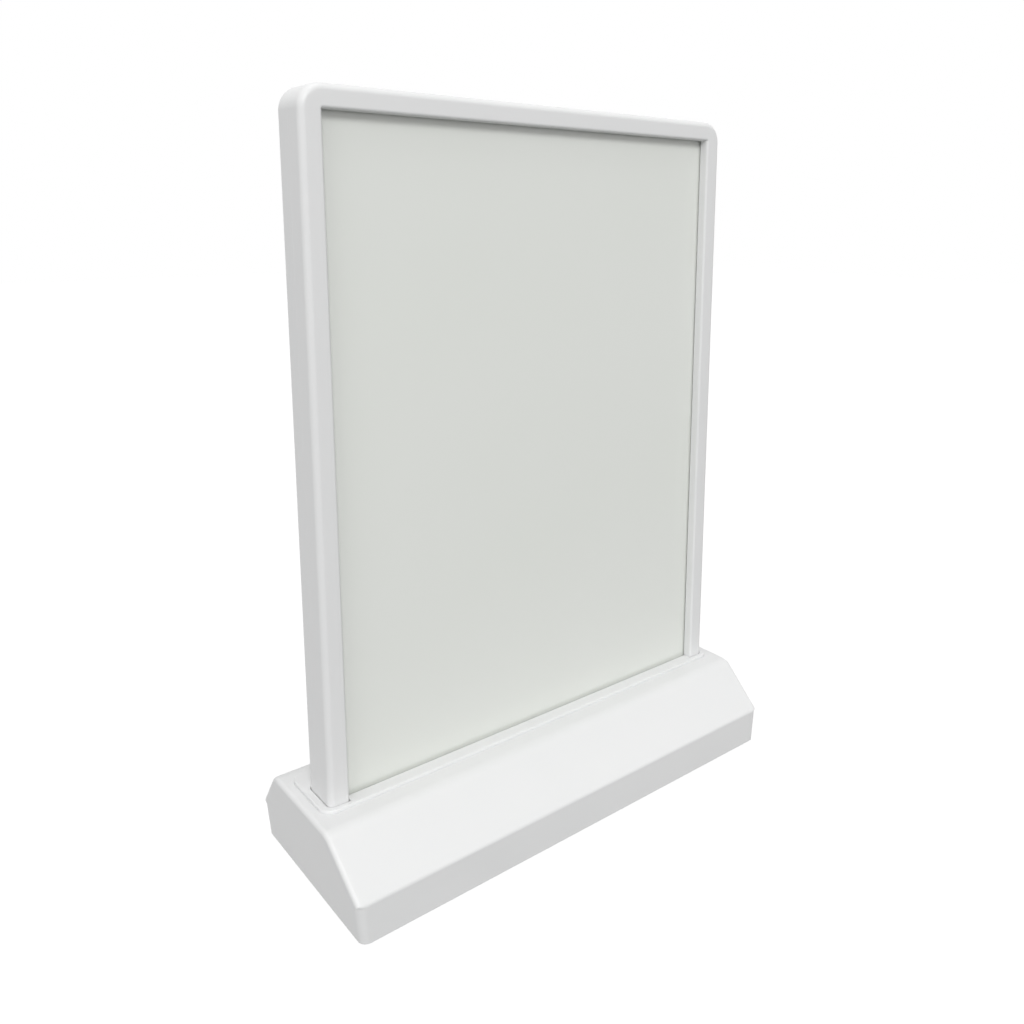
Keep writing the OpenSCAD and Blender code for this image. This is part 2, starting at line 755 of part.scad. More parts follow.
module led_leads() {
    end_x = board_x1 - lead_pad_inset;
    for (s = [-1, 1]) color(s > 0 ? red_lead : black_part) wire([
        [lead_hole_x, s * 1.1, floor_z - 0.2],
        [lead_hole_x, s * 1.2, well_z - 2],
        [lead_hole_x - 3 + s, 6 + s, lead_z + 2],
        [lead_hole_x - 12 + 1.2 * s, 13, lead_z + 0.4],
        [end_x + s, board_y0 + 2, lead_z],
        [end_x + s, board_y0 + 4, lead_z]]);
}

// Electronics at the back

module control_board() color(board_green) {
    difference() {
        translate([board_x0, board_y0, board_low]) cube([board_x1 - board_x0, board_d, board_t]);
        translate([button_x - notch_w / 2, board_y1 - notch_d, board_low - past])
            cube([notch_w, notch_d + past, board_t + 2 * past]);
        for (p = board_holes) translate([p.x, p.y, board_low - past])
            cylinder(d = pass_d, h = board_t + 2 * past);
    }
}

module board_parts() {
    row_y = board_y0 + parts_row_inset;
    color(black_part) translate([pipe_x - chip_offset, row_y, board_top]) block(chip);
    color("#4A4B4D") translate([pipe_x + coil_offset, row_y, board_top]) block(coil);
    color("#8A6A3C") for (i = [0:resistor_count - 1])
        translate([button_x - resistor_offset + resistor_pitch * i, row_y - chip.y, board_top])
            block(resistor);
    color(steel) translate([button_x - capacitor_offset, row_y, board_top])
        cylinder(d = capacitor_d, h = capacitor_h);
}

module board_screws() color(steel) {
    for (p = board_holes) translate([p.x, p.y, board_low - head_gap])
        screw(screw_d, board_t + board_bite, pass_d + 2 * head_lap);
}

module usb_shell() color(steel) {
    difference() {
        oval_y(usb_x, io_z, usb_w, usb_h, usb_back_y, usb_mouth_y);
        oval_y(usb_x, io_z, usb_w - 2 * usb_skin, usb_h - 2 * usb_skin, usb_back_y + usb_floor,
               usb_mouth_y + past);
    }
}

module usb_tongue() color(black_part) {
    translate([usb_x - tongue_w / 2, usb_back_y + usb_floor, io_z - tongue_t / 2])
        cube([tongue_w, usb_l - usb_floor - tongue_set_back, tongue_t]);
}

module tact_switch() color("#3A3B3D") {
    difference() {
        translate([button_x - switch_w / 2, switch_y - switch_l, board_top])
            cube([switch_w, switch_l, usb_h]);
        along_y(button_x, io_z, plunger_d / 2 + plunger_gap,
                switch_y - plunger_seat - button_travel - hole_end, switch_y + past);
    }
}

module switch_plunger() color("#E8E8E6") {
    along_y(button_x, io_z, plunger_d / 2, switch_y - plunger_seat, stem_y);
}

// Push button: hollow-faced cap, flange behind the wall, stem on the switch
module button_cap() color(grey_abs) {
    cap_r = button_d / 2;
    cap_h = face_y - inner_y;
    hollow_r = (pow(cap_r - button_edge_r, 2) + pow(button_hollow, 2)) / (2 * button_hollow);
    translate([button_x, inner_y, io_z]) rotate([-90, 0, 0]) difference() {
        union() {
            rotate_extrude() soft_half(cap_r, cap_h, button_edge_r);
            translate([0, 0, -button_flange_t])
                cylinder(r = cap_r + button_flange_lap, h = button_flange_t);
            translate([0, 0, stem_y - inner_y]) cylinder(d = stem_d, h = inner_y - stem_y);
        }
        translate([0, 0, cap_h + hollow_r - button_hollow]) sphere(r = hollow_r);
    }
}

module charge_led() color("#CFE8C8") {
    translate([pipe_x, inner_y - pipe_reach - charge_lamp_gap - charge_lamp.y / 2, board_top])
        block(charge_lamp);
}

module light_pipe() color("#E6EFEF") {
    along_y(pipe_x, io_z, pipe_d / 2, inner_y - pipe_reach, face_y);
}

// Battery at the front

module battery_cradle() color("#4C4E50") {
    difference() {
        translate([0, cradle_d / 2 - cradle_front_y, inside_z]) {
            block([2 * cradle_hx, cradle_d, cradle_t]);
            for (x = [-1, 1]) {
                translate([x * (cradle_hx - cradle_end_t / 2), 0, 0])
                    block([cradle_end_t, cradle_d, cradle_end_h]);
                for (k = [-1, 1]) translate([x * cell_x + k * (cell_l / 2 - saddle_inset), 0, 0])
                    block([saddle_t, cradle_d, cradle_t + saddle_h]);
            }
        }
        translate([-cell_end_x - past, cell_y, cell_z]) rotate([0, 90, 0])
            cylinder(d = cell_d + 2 * cell_clear, h = 2 * (cell_end_x + past));
    }
}

module battery_cells() color("#3F6FA8") {
    for (x = [-1, 1]) translate([x * cell_x - cell_l / 2, cell_y, cell_z]) rotate([0, 90, 0]) {
        cylinder(d = cell_d, h = cell_l - cell_tip_h);
        cylinder(d = cell_tip_d, h = cell_l);
    }
}

// Nickel tabs: one at each outer end, and one that joins the cells
module battery_tabs() color("#C9C4B4") {
    translate([0, cell_y, cell_z]) {
        for (x = [-1, 1]) translate([x * (cell_end_x + tab_t / 2), 0, -tab_w / 2])
            block([tab_t, tab_w, tab_w]);
        translate([0, 0, -tab_t / 2]) block([cell_gap, tab_w, tab_t]);
    }
}

module battery_leads() {
    tab_x = cell_end_x + tab_t + lead_d / 2 + lead_gap;
    lane_y = cell_y + cell_d / 2 + 1.6;
    color(red_lead) wire([
        [tab_x, cell_y, cell_z],
        [tab_x, cell_y + 3, cell_z + 3],
        [tab_x, cell_y + cell_d / 2, cell_z + 1],
        [tab_x - 1, lane_y + 3, lead_z + 3],
        [tab_x - 2, 0, lead_z + 1],
        [pipe_x + 9, board_y0 - 3, lead_z + 0.6],
        [pipe_x + 7, board_y0 + 2, lead_z],
        [pipe_x + 7, board_y0 + 4, lead_z]]);
    color(black_part) wire([
        [-tab_x, cell_y, cell_z],
        [-tab_x, cell_y + 3, cell_z + 3],
        [-tab_x, cell_y + cell_d / 2, cell_z + 1],
        [4 - tab_x, lane_y, inside_z + 3],
        [-cell_x, lane_y, inside_z + 2],
        [0, lane_y, inside_z + 2],
        [cell_x, lane_y, inside_z + 3],
        [pipe_x - 2, lane_y + 6, lead_z + 2],
        [pipe_x + 2, 0, lead_z + 1],
        [pipe_x + 3, board_y0 - 3, lead_z + 0.6],
        [pipe_x + 3, board_y0 + 2, lead_z],
        [pipe_x + 3, board_y0 + 4, lead_z]]);
}

// Frame

// Section of one frame half: x is the way in from the outer edge, y the way back from the face
module rail_section() {
    half = frame_t / 2;
    difference() {
        union() {
            translate([edge_r, edge_r]) circle(edge_r);
            translate([0, edge_r]) square([edge_r, half - edge_r]);
            translate([edge_r, 0]) square([bezel - edge_r - bezel_edge_r, half]);
            translate([bezel - bezel_edge_r, bezel_edge_r]) {
                circle(bezel_edge_r);
                square([bezel_edge_r, half - bezel_edge_r]);
            }
        }
        translate([frame_wall, frame_wall]) square([bezel - frame_wall - return_t, half]);
        translate([frame_wall, return_depth]) square([bezel, half]);
        polygon([[-past, half - parting], [0, half - parting], [parting, half], [parting, half + past],
                 [-past, half + past]]);
    }
}

// A rib that joins the frame's walls and leaves room for the sheets
module rib_section() {
    start = frame_wall - fuse;
    translate([start, start]) square([bezel - return_t - start + fuse, return_depth - sheet_clear - start]);
    translate([start, start]) square([rib_reach - start, frame_t / 2 - start]);
}

module on_post(side, z0, z1) {
    translate([0, 0, z0]) linear_extrude(z1 - z0) mirror([side, 0])
        translate([frame_w / 2, -frame_t / 2]) mirror([1, 0]) children();
}

module on_rail(x0, x1) {
    translate([x0, 0, 0]) rotate([90, 0, 90]) linear_extrude(x1 - x0)
        translate([-frame_t / 2, overall_h]) rotate(-90) children();
}

module on_corner(side) {
    mirror([side, 0, 0]) translate([frame_w / 2 - corner_r, -frame_t / 2, overall_h - corner_r])
        rotate([90, 0, 0]) rotate_extrude(angle = 90) translate([corner_r, 0]) rotate(180) children();
}

rib_zs = [for (i = [1:post_ribs]) collar_top + (post_top - collar_top) * i / (post_ribs + 1)];
rib_xs = [for (i = [1:rail_ribs]) (frame_w - 2 * corner_r) * (i / (rail_ribs + 1) - 0.5)];
peg_places = [for (s = [-1, 1], z = rib_zs) [s * (frame_w / 2 - boss_u), z],
              for (x = rib_xs) [x, overall_h - boss_u]];
foot_screw_places = [for (s = [-1, 1]) [s * (frame_w / 2 - boss_u), sheet_z + foot_boss_gap + boss_r]];

// One half of the frame, drawn as the front one
module frame_half() {
    tie_hx = frame_w / 2 - bezel + tie_lap;
    ledge_x = led_board_l / 2 + ledge_gap;
    for (side = [0, 1]) {
        on_post(side, floor_z, post_top) rail_section();
        on_corner(side) rail_section();
        on_post(side, floor_z, sheet_z) rib_section();
        for (z = rib_zs) on_post(side, z - rib_t / 2, z + rib_t / 2) rib_section();
        mirror([side, 0, 0]) translate([ledge_x, -tie_y - tie_t, floor_z])
            cube([sheet_w / 2 + sheet_clear + fuse - ledge_x, tie_y + tie_t, ledge_t]);
    }
    on_rail(corner_r - frame_w / 2, frame_w / 2 - corner_r) rail_section();
    for (x = rib_xs) on_rail(x - rib_t / 2, x + rib_t / 2) rib_section();
    for (p = concat(peg_places, foot_screw_places))
        along_y(p.x, p.y, boss_r, frame_wall - fuse - frame_t / 2, 0);
    translate([-tie_hx, -tie_y - tie_t, floor_z]) cube([2 * tie_hx, tie_t, tie_h]);
    translate([-tie_hx, -tie_y - tie_t / 2, floor_z])
        cube([2 * tie_hx, tie_y + tie_t / 2 - led_board_w / 2 - ledge_gap, ledge_t]);
}

module front_frame() color(white_abs) {
    difference() {
        frame_half();
        for (p = foot_screw_places)
            along_y(p.x, p.y, frame_screw_d / 2 + screw_clear, -frame_bite - hole_end, past);
    }
    for (p = peg_places) along_y(p.x, p.y, peg_d / 2, -fuse, peg_l);
}

module rear_frame() color(white_abs) {
    mirror([0, 1, 0]) difference() {
        frame_half();
        for (p = peg_places) along_y(p.x, p.y, peg_d / 2 + screw_clear, -peg_l - hole_end, past);
        for (p = foot_screw_places) {
            along_y(p.x, p.y, frame_screw_d / 2 + pass_clear, -frame_t, past);
            along_y(p.x, p.y, frame_head_d / 2 + pass_clear, -frame_t, frame_seat - frame_t / 2);
        }
    }
}

module frame_screws() color(steel) {
    seat_y = frame_t / 2 - frame_seat + head_gap;
    for (p = foot_screw_places) translate([p.x, seat_y, p.y]) rotate([90, 0, 0])
        screw(frame_screw_d, seat_y + frame_bite, frame_head_d);
}

// Sheets of the panel

module sheet(y0, y1) {
    translate([0, y1, (sheet_z + sheet_top) / 2]) rotate([90, 0, 0]) linear_extrude(y1 - y0)
        round_rect(sheet_w / 2, (sheet_top - sheet_z) / 2, sheet_r);
}

module light_guide() color(clear_sheet, 0.6) {
    translate([-sheet_w / 2 + tape_t, -guide_t / 2, sheet_z])
        cube([sheet_w - 2 * tape_t, guide_t, sheet_top - tape_t - sheet_z]);
}

module edge_tape() color("#FAFAF8") {
    difference() {
        translate([-sheet_w / 2, -guide_t / 2, sheet_z]) cube([sheet_w, guide_t, sheet_top - sheet_z]);
        translate([-sheet_w / 2 + tape_t, -guide_t, sheet_z - past])
            cube([sheet_w - 2 * tape_t, 2 * guide_t, sheet_top - tape_t - sheet_z + past]);
    }
}

module front_diffuser() color(milky_sheet) {
    sheet(-guide_t / 2 - diffuser_t, -guide_t / 2);
}

module rear_diffuser() color(milky_sheet) {
    mirror([0, 1, 0]) sheet(-guide_t / 2 - diffuser_t, -guide_t / 2);
}

module front_cover() color(clear_sheet, 0.5) {
    sheet(-stack_t / 2, cover_t - stack_t / 2);
}

module rear_cover() color(clear_sheet, 0.5) {
    mirror([0, 1, 0]) sheet(-stack_t / 2, cover_t - stack_t / 2);
}

base_housing();
bottom_cover();
rubber_feet();
cover_screws();
socket_collar();
collar_screws();
led_board();
led_chips();
led_leads();
control_board();
board_parts();
board_screws();
usb_shell();
usb_tongue();
tact_switch();
switch_plunger();
button_cap();
charge_led();
light_pipe();
battery_cradle();
battery_cells();
battery_tabs();
battery_leads();
front_frame();
rear_frame();
frame_screws();
light_guide();
edge_tape();
front_diffuser();
rear_diffuser();
front_cover();
rear_cover();
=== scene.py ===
# %% [markdown]
# # A tabletop light panel
# The object is a framed sheet that glows when it is switched on and that plugs into a sloped base.
# The imported parts fix every size and place, so they are loaded first. Their outer box is kept, so
# that the lamps can be placed round its middle.

import json
import math

import bmesh
import bpy
from mathutils import Matrix, Vector


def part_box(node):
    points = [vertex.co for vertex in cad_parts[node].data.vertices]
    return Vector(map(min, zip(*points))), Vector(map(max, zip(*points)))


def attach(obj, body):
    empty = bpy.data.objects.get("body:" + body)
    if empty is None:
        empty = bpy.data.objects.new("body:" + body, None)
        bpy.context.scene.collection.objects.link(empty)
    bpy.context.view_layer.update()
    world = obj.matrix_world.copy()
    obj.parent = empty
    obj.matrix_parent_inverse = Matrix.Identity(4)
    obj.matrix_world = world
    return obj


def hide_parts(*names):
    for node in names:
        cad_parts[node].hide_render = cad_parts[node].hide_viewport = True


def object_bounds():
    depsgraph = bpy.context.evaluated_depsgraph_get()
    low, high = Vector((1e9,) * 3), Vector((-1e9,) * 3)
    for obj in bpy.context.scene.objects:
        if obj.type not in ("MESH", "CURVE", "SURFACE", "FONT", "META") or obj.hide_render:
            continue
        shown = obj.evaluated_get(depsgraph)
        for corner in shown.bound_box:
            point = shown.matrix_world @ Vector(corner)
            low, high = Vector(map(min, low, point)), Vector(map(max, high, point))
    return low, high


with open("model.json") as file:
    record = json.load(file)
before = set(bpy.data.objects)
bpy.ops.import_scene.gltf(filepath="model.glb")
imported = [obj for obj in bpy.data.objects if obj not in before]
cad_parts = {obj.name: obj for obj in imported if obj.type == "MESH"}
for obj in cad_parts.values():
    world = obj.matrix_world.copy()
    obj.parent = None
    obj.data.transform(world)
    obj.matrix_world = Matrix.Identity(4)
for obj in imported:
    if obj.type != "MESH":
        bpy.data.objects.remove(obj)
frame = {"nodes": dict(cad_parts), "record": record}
cad_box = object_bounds()
MM = 0.001

# %% [markdown]
# ## The camera
# The photo was taken from the front left, with the lens a little below the frame's top edge. The
# picture was cropped off centre afterwards, which the lens shift repeats. The numbers come from the
# straight edges in the photo: the lines of the base and the frame fix where the camera stood.

# %% Set the camera
PHOTO_PX = 1024
FOCAL_PX = 933.4
CENTRE_PX = (568.4, 396.5)
SENSOR_MM = 36
EYE = Vector((-258.1, -335.8, 277.6)) * MM
YAW = math.radians(39.83)
PITCH = math.radians(-10.83)
ROLL = math.radians(0.45)
NEAREST = 10 * MM

scene = bpy.context.scene
lens = bpy.data.cameras.new("camera")
lens.sensor_width = SENSOR_MM
lens.lens = FOCAL_PX / PHOTO_PX * SENSOR_MM
lens.shift_x = 0.5 - CENTRE_PX[0] / PHOTO_PX
lens.shift_y = CENTRE_PX[1] / PHOTO_PX - 0.5
lens.clip_start = NEAREST
camera = bpy.data.objects.new("camera", lens)
heading = Matrix.Rotation(-YAW, 4, "Z") @ Matrix.Rotation(math.pi / 2 + PITCH, 4, "X")
camera.matrix_world = Matrix.Translation(EYE) @ heading @ Matrix.Rotation(ROLL, 4, "Z")
scene.collection.objects.link(camera)
scene.camera = camera
scene.view_settings.view_transform = "Standard"
print("camera lens", round(lens.lens, 1), "mm")

# %% [markdown]
# ## Colours and nodes
# Colours are written as sRGB hex values, as a paint chart gives them, while shaders want linear light.
# Materials and geometry trees are both made of nodes, so one small function adds a node, sets it up and
# joins its inputs. An input takes a plain value, an output, or another node's first output.

# %% Functions for colours and nodes
def linear(colour):
    """Linear colour from an sRGB hex value."""
    shares = [int(colour[i:i + 2], 16) / 255 for i in (1, 3, 5)]
    return [c / 12.92 if c <= 0.04045 else ((c + 0.055) / 1.055) ** 2.4 for c in shares] + [1.0]


def fill(tree, node, values):
    """Joins each input of a node to an output, or gives it a plain value."""
    for key, value in values.items():
        if isinstance(value, bpy.types.Node):
            value = value.outputs[0]
        if isinstance(value, bpy.types.NodeSocket):
            tree.links.new(value, node.inputs[key])
        else:
            node.inputs[key].default_value = value


def add_node(tree, kind, values=None, **settings):
    """Adds a node with its settings and inputs."""
    node = tree.nodes.new(kind)
    for name, value in settings.items():
        setattr(node, name, value)
    fill(tree, node, values or {})
    return node


print("white is", [round(c, 2) for c in linear("#FFFFFF")])

# %% [markdown]
# ## The stage
# A pale floor, an even sky and three soft lamps stand for a photographer's white table. The sky and the
# floor look white to the camera, in reflections and through clear sheets, while the light that they
# give the object is weaker. The floor keeps the object's shadow, which its glow makes faint.

# %% Sky
SKY_LIGHT = 0.58


def seen_white(tree):
    """Share that is 1 for what the camera, a reflection or a clear sheet sees."""
    ray = add_node(tree, "ShaderNodeLightPath").outputs
    gloss = add_node(tree, "ShaderNodeMath", {0: ray["Is Glossy Ray"], 1: ray["Is Transmission Ray"]},
                     operation="MAXIMUM")
    return add_node(tree, "ShaderNodeMath", {0: ray["Is Camera Ray"], 1: gloss}, operation="MAXIMUM")


world = bpy.data.worlds.new("white studio")
scene.world = world
world.use_nodes = True
sky = world.node_tree
sky.nodes.clear()
level = add_node(sky, "ShaderNodeMapRange",
                 {"Value": seen_white(sky), "To Min": SKY_LIGHT, "To Max": 1.0})
glow = add_node(sky, "ShaderNodeBackground", {"Color": linear("#FFFFFF"), "Strength": level})
add_node(sky, "ShaderNodeOutputWorld", {"Surface": glow})
print("sky lights with", SKY_LIGHT, "of the white that it shows")

# %% Floor
FLOOR_GLOW = 0.62
FLOOR_WHITE = 1.55
FLOOR_COLOUR = "#858585"
FLOOR_SIZE = 8.0


def new_piece(name, points, faces, edges=()):
    """Object from points and faces, with the faces turned outward."""
    mesh = bpy.data.meshes.new(name)
    mesh.from_pydata([tuple(p) for p in points], edges, faces)
    shape = bmesh.new()
    shape.from_mesh(mesh)
    bmesh.ops.recalc_face_normals(shape, faces=shape.faces)
    shape.to_mesh(mesh)
    shape.free()
    piece = bpy.data.objects.new(name, mesh)
    scene.collection.objects.link(piece)
    return piece


paper = bpy.data.materials.new("pale floor")
paper.use_nodes = True
tree = paper.node_tree
tree.nodes.clear()
matt = add_node(tree, "ShaderNodeBsdfDiffuse", {"Color": linear(FLOOR_COLOUR)})
white = add_node(tree, "ShaderNodeEmission", {"Color": linear("#FFFFFF"), "Strength": FLOOR_WHITE})
share = add_node(tree, "ShaderNodeMath", {0: seen_white(tree), 1: FLOOR_GLOW}, operation="MULTIPLY")
both = add_node(tree, "ShaderNodeMixShader", {0: share, 1: matt, 2: white})
add_node(tree, "ShaderNodeOutputMaterial", {"Surface": both})

half = FLOOR_SIZE / 2
corners = [(-half, -half, 0), (half, -half, 0), (half, half, 0), (-half, half, 0)]
floor = new_piece("floor", corners, [(0, 1, 2, 3)])
floor.data.materials.append(paper)
print("floor of", FLOOR_SIZE, "m")

# %% [markdown]
# The key stands nearer to the front than the camera does, so its shadow inside the window's left edge
# hides behind the post. A weak lamp far to the left lights the frame's side and the window's right
# edge, which face that way. Another one overhead makes the base's flat top as light as its slope.

# %% Soft lamps
# place from the object's middle and size in metres, power in watts
LAMPS = {
    "key light": ((-1.36, -3.06, 2.18), 1.2, 62),
    "left light": ((-3.3, -1.7, 1.5), 2.2, 24),
    "top light": ((0.0, -0.4, 4.0), 2.2, 25),
}


def middle_of(box, **fixed):
    """Middle of a box, with the fixed coordinates in place of its own."""
    place = (box[0] + box[1]) / 2
    for axis, value in fixed.items():
        setattr(place, axis, value)
    return place


for name, (offset, size, watt) in LAMPS.items():
    offset = Vector(offset)
    lamp = bpy.data.lights.new(name, "AREA")
    lamp.size = size
    lamp.energy = watt
    light = bpy.data.objects.new(name, lamp)
    aim = offset.to_track_quat("Z", "Y").to_matrix().to_4x4()
    light.matrix_world = Matrix.Translation(middle_of(cad_box) + offset) @ aim
    light.visible_camera = False
    scene.collection.objects.link(light)
    print(name, round(offset.length, 1), "m away")

# %% [markdown]
# ## Plastics and rubber
# The frame, the base and its collar are moulded white ABS with a fine satin grain. Moulded plastic is
# never one flat tone: the colour drifts a little over a few centimetres, and the gloss varies with the
# grain. Rubber, solder mask and shrink wrap differ only in tone, gloss and grain, so one function makes
# them all. The grain of a mould is finer than a pixel here, so it is drawn about five times as coarse.

# %% Functions for moulded finishes
GRAIN_SPREAD = 0.05
GRAIN_STRENGTH = 0.4


def start_finish(name):
    """New material, its tree, its main shader and the place on the object in metres."""
    material = bpy.data.materials.new(name)
    material.use_nodes = True
    tree = material.node_tree
    place = add_node(tree, "ShaderNodeTexCoord").outputs["Object"]
    return material, tree, tree.nodes["Principled BSDF"], place


def tone_between(tree, share, tones):
    """Colour that varies between two tones."""
    values = {0: share, 6: linear(tones[0]), 7: linear(tones[1])}
    return add_node(tree, "ShaderNodeMix", values, data_type="RGBA").outputs[2]


def moulded(name, tones, roughness, grain_mm, drift_mm=40, relief_mm=0.01, ior=1.54):
    """Moulded plastic or rubber: two near tones that drift, and a fine grain in relief and gloss."""
    material, tree, shader, place = start_finish(name)
    drift = add_node(tree, "ShaderNodeTexNoise",
                     {"Vector": place, "Scale": 1 / (drift_mm * MM), "Detail": 1.0})
    grain = add_node(tree, "ShaderNodeTexNoise",
                     {"Vector": place, "Scale": 1 / (grain_mm * MM), "Detail": 2.0})
    gloss = add_node(tree, "ShaderNodeMapRange",
                     {"Value": grain, "To Min": roughness - GRAIN_SPREAD,
                      "To Max": roughness + GRAIN_SPREAD})
    relief = add_node(tree, "ShaderNodeBump",
                      {"Height": grain, "Strength": GRAIN_STRENGTH, "Distance": relief_mm * MM})
    fill(tree, shader, {"Base Color": tone_between(tree, drift, tones), "Roughness": gloss,
                        "Normal": relief, "IOR": ior})
    return material


print("grain moves the roughness by", GRAIN_SPREAD)

# %% Make the moulded finishes
finishes = {
    # satin white ABS of the housing, collar and frame: even and soft, with a broad sheen
    "white_abs": moulded("white ABS", ("#E5E6E6", "#E9E9E9"), 0.4, 0.5),
    # grey ABS of the push button: the same grain, a shade darker
    "grey_abs": moulded("grey ABS", ("#C6C7C7", "#CDCECE"), 0.42, 0.4),
    # soft dark rubber of the feet: nearly no sheen
    "rubber": moulded("foot rubber", ("#333435", "#3D3E3F"), 0.75, 0.6, 8, 0.03, 1.5),
    # white solder mask of the lamp board: smooth lacquer
    "board_white": moulded("white solder mask", ("#EFEFEB", "#F4F4F1"), 0.35, 0.3, 6, 0.005, 1.5),
    # green solder mask of the control board
    "board_green": moulded("green solder mask", ("#1C5A38", "#246744"), 0.3, 0.3, 5, 0.005, 1.5),
    # yellow phosphor in clear silicone over the lamps
    "phosphor": moulded("lamp phosphor", ("#E9DC8E", "#F1E6A4"), 0.3, 0.2, 2, 0.01, 1.45),
    # black moulded parts on the board
    "black_plastic": moulded("black plastic", ("#2E2F31", "#38393B"), 0.5, 0.3, 10),
    # blue shrink wrap of the cells: tight and glossy
    "cell_wrap": moulded("cell wrap", ("#39679E", "#4474AE"), 0.25, 0.8, 15, 0.01, 1.5),
    # red PVC insulation of the leads
    "lead_insulation": moulded("lead insulation", ("#A83A34", "#B4463F"), 0.3, 0.3, 6, 0.004, 1.5),
    # white reflecting tape with a matt face
    "tape_white": moulded("reflecting tape", ("#F0F0EC", "#F6F6F4"), 0.6, 0.6, 20, 0.01, 1.5),
    # opal diffuser sheet: milky all through
    "opal_sheet": moulded("opal sheet", ("#E8EBE5", "#EEF0EB"), 0.45, 0.4, 60, 0.003, 1.5),
}
print("made", len(finishes), "moulded finishes")

# %% [markdown]
# ## Metals and sheets
# The screws and the charging socket are zinc-plated steel, and the cells are joined with nickel strip:
# both keep faint streaks from drawing and rolling. The panel is an opal sheet under a polished clear one.
# Light scatters in the opal sheet and the clear one gives a sharp gloss, so the two are drawn as one
# sheet with an even pale tone. Its faint waviness shows where a reflection changes its sharpness.

# %% Functions for metals and sheets
STREAK_SPREAD = 0.08
STREAK_STRETCH = 10
WAVE_SPREAD = 0.03
ACRYLIC_IOR = 1.49


def drawn_metal(name, tones, roughness, streak_mm):
    """Plated or bare metal with faint streaks along its length."""
    material, tree, shader, place = start_finish(name)
    drawn = add_node(tree, "ShaderNodeMapping", {"Vector": place, "Scale": (1, 1, 1 / STREAK_STRETCH)})
    streak = add_node(tree, "ShaderNodeTexNoise",
                      {"Vector": drawn, "Scale": 1 / (streak_mm * MM), "Detail": 3.0})
    gloss = add_node(tree, "ShaderNodeMapRange",
                     {"Value": streak, "To Min": roughness - STREAK_SPREAD,
                      "To Max": roughness + STREAK_SPREAD})
    fill(tree, shader, {"Base Color": tone_between(tree, streak, tones), "Roughness": gloss,
                        "Metallic": 1.0})
    return material


def acrylic(name, tones, drift_mm, roughness, clear):
    """Polished acrylic sheet, with a tone that drifts and a gloss that waves."""
    material, tree, shader, place = start_finish(name)
    drift = add_node(tree, "ShaderNodeTexNoise",
                     {"Vector": place, "Scale": 1 / (drift_mm * MM), "Detail": 1.0})
    gloss = add_node(tree, "ShaderNodeMapRange",
                     {"Value": drift, "To Min": roughness - WAVE_SPREAD, "To Max": roughness + WAVE_SPREAD})
    fill(tree, shader, {"Base Color": tone_between(tree, drift, tones), "Roughness": gloss,
                        "IOR": ACRYLIC_IOR, "Transmission Weight": clear})
    return material


print("streaks move the roughness by", STREAK_SPREAD)

# %% Make the metals and sheets
# zinc-plated steel of the screws and the charging socket: bright, with a soft sheen
finishes["steel"] = drawn_metal("plated steel", ("#C2C4C6", "#CFD0D1"), 0.3, 0.6)
# nickel strip that joins the cells: a little yellow
finishes["nickel"] = drawn_metal("nickel strip", ("#D2CDBE", "#DAD6CA"), 0.32, 0.8)
# the panel's clear cover with the opal sheet behind it: pale grey green, polished
finishes["panel_cover"] = acrylic("polished panel", ("#E6E9E3", "#E9EBE7"), 90, 0.09, 0.0)
# clear acrylic of the light guide and the light pipe
finishes["clear_acrylic"] = acrylic("clear acrylic", ("#EDF5F1", "#F3F8F6"), 30, 0.05, 1.0)
for part in frame["record"]["subparts"]:
    node = frame["nodes"][part["node"]]
    node.data.materials.clear()
    node.data.materials.append(finishes[part["material_slot"]])
print("made", len(finishes), "finishes for", len(frame["nodes"]), "nodes")

# %% [markdown]
# ## Base housing
# The base is one injection moulding: an upright lip at the front and the back, slopes up to a flat top,
# and ends that lean in towards the table so that the moulding leaves its tool. Its side profile is drawn
# once, with an arc at each corner, and repeated along the base.

# %% Draw the side profile
low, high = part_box("base_housing")
HALF_W = high.x
LIP_Y = high.y
RIM_Z = low.z
TOP_Z = high.z
WALL = 2.4 * MM
LIP_Z = 17.8 * MM
FLAT_FRONT = -22.5 * MM
FLAT_BACK = 29 * MM
FLAT_R = 9 * MM
LIP_R = 2 * MM
LEAST_R = 0.3 * MM
ARC_STEPS = 10


def rounded(corners, radii, steps=8):
    """Outline through the corners, in which each corner with a radius becomes an arc."""
    outline = []
    for i, (corner, radius) in enumerate(zip(corners, radii)):
        corner = Vector(corner)
        if not radius:
            outline.append(corner)
            continue
        back = (Vector(corners[i - 1]) - corner).normalized()
        ahead = (Vector(corners[(i + 1) % len(corners)]) - corner).normalized()
        half = back.angle(ahead) / 2
        centre = corner + (back + ahead).normalized() * (radius / math.sin(half))
        spoke = corner + back * (radius / math.tan(half)) - centre
        turn = math.copysign(math.pi - 2 * half, back.y * ahead.x - back.x * ahead.y)
        for k in range(steps + 1):
            outline.append(centre + Matrix.Rotation(turn * k / steps, 2) @ spoke)
    return outline


def side_profile(inset):
    """Side profile of the base as (y, z) points from the back lip over the top, drawn in by an inset."""
    corners = [Vector(c) for c in ((LIP_Y, RIM_Z), (LIP_Y, LIP_Z), (FLAT_BACK, TOP_Z),
                                   (FLAT_FRONT, TOP_Z), (-LIP_Y, LIP_Z), (-LIP_Y, RIM_Z))]
    inward = []
    for start, end in zip(corners, corners[1:]):
        run = (end - start).normalized()
        inward.append(Vector((-run.y, run.x)))
    moved = [corners[0] + inward[0] * inset]
    for corner, first, second in zip(corners[1:], inward, inward[1:]):
        moved.append(corner + (first + second) * (inset / (1 + first.dot(second))))
    moved.append(corners[-1] + inward[-1] * inset)
    radii = [0] + [max(r - inset, LEAST_R) for r in (LIP_R, FLAT_R, FLAT_R, LIP_R)] + [0]
    return rounded(moved, radii, ARC_STEPS)


print("profile has", len(side_profile(0)), "points")

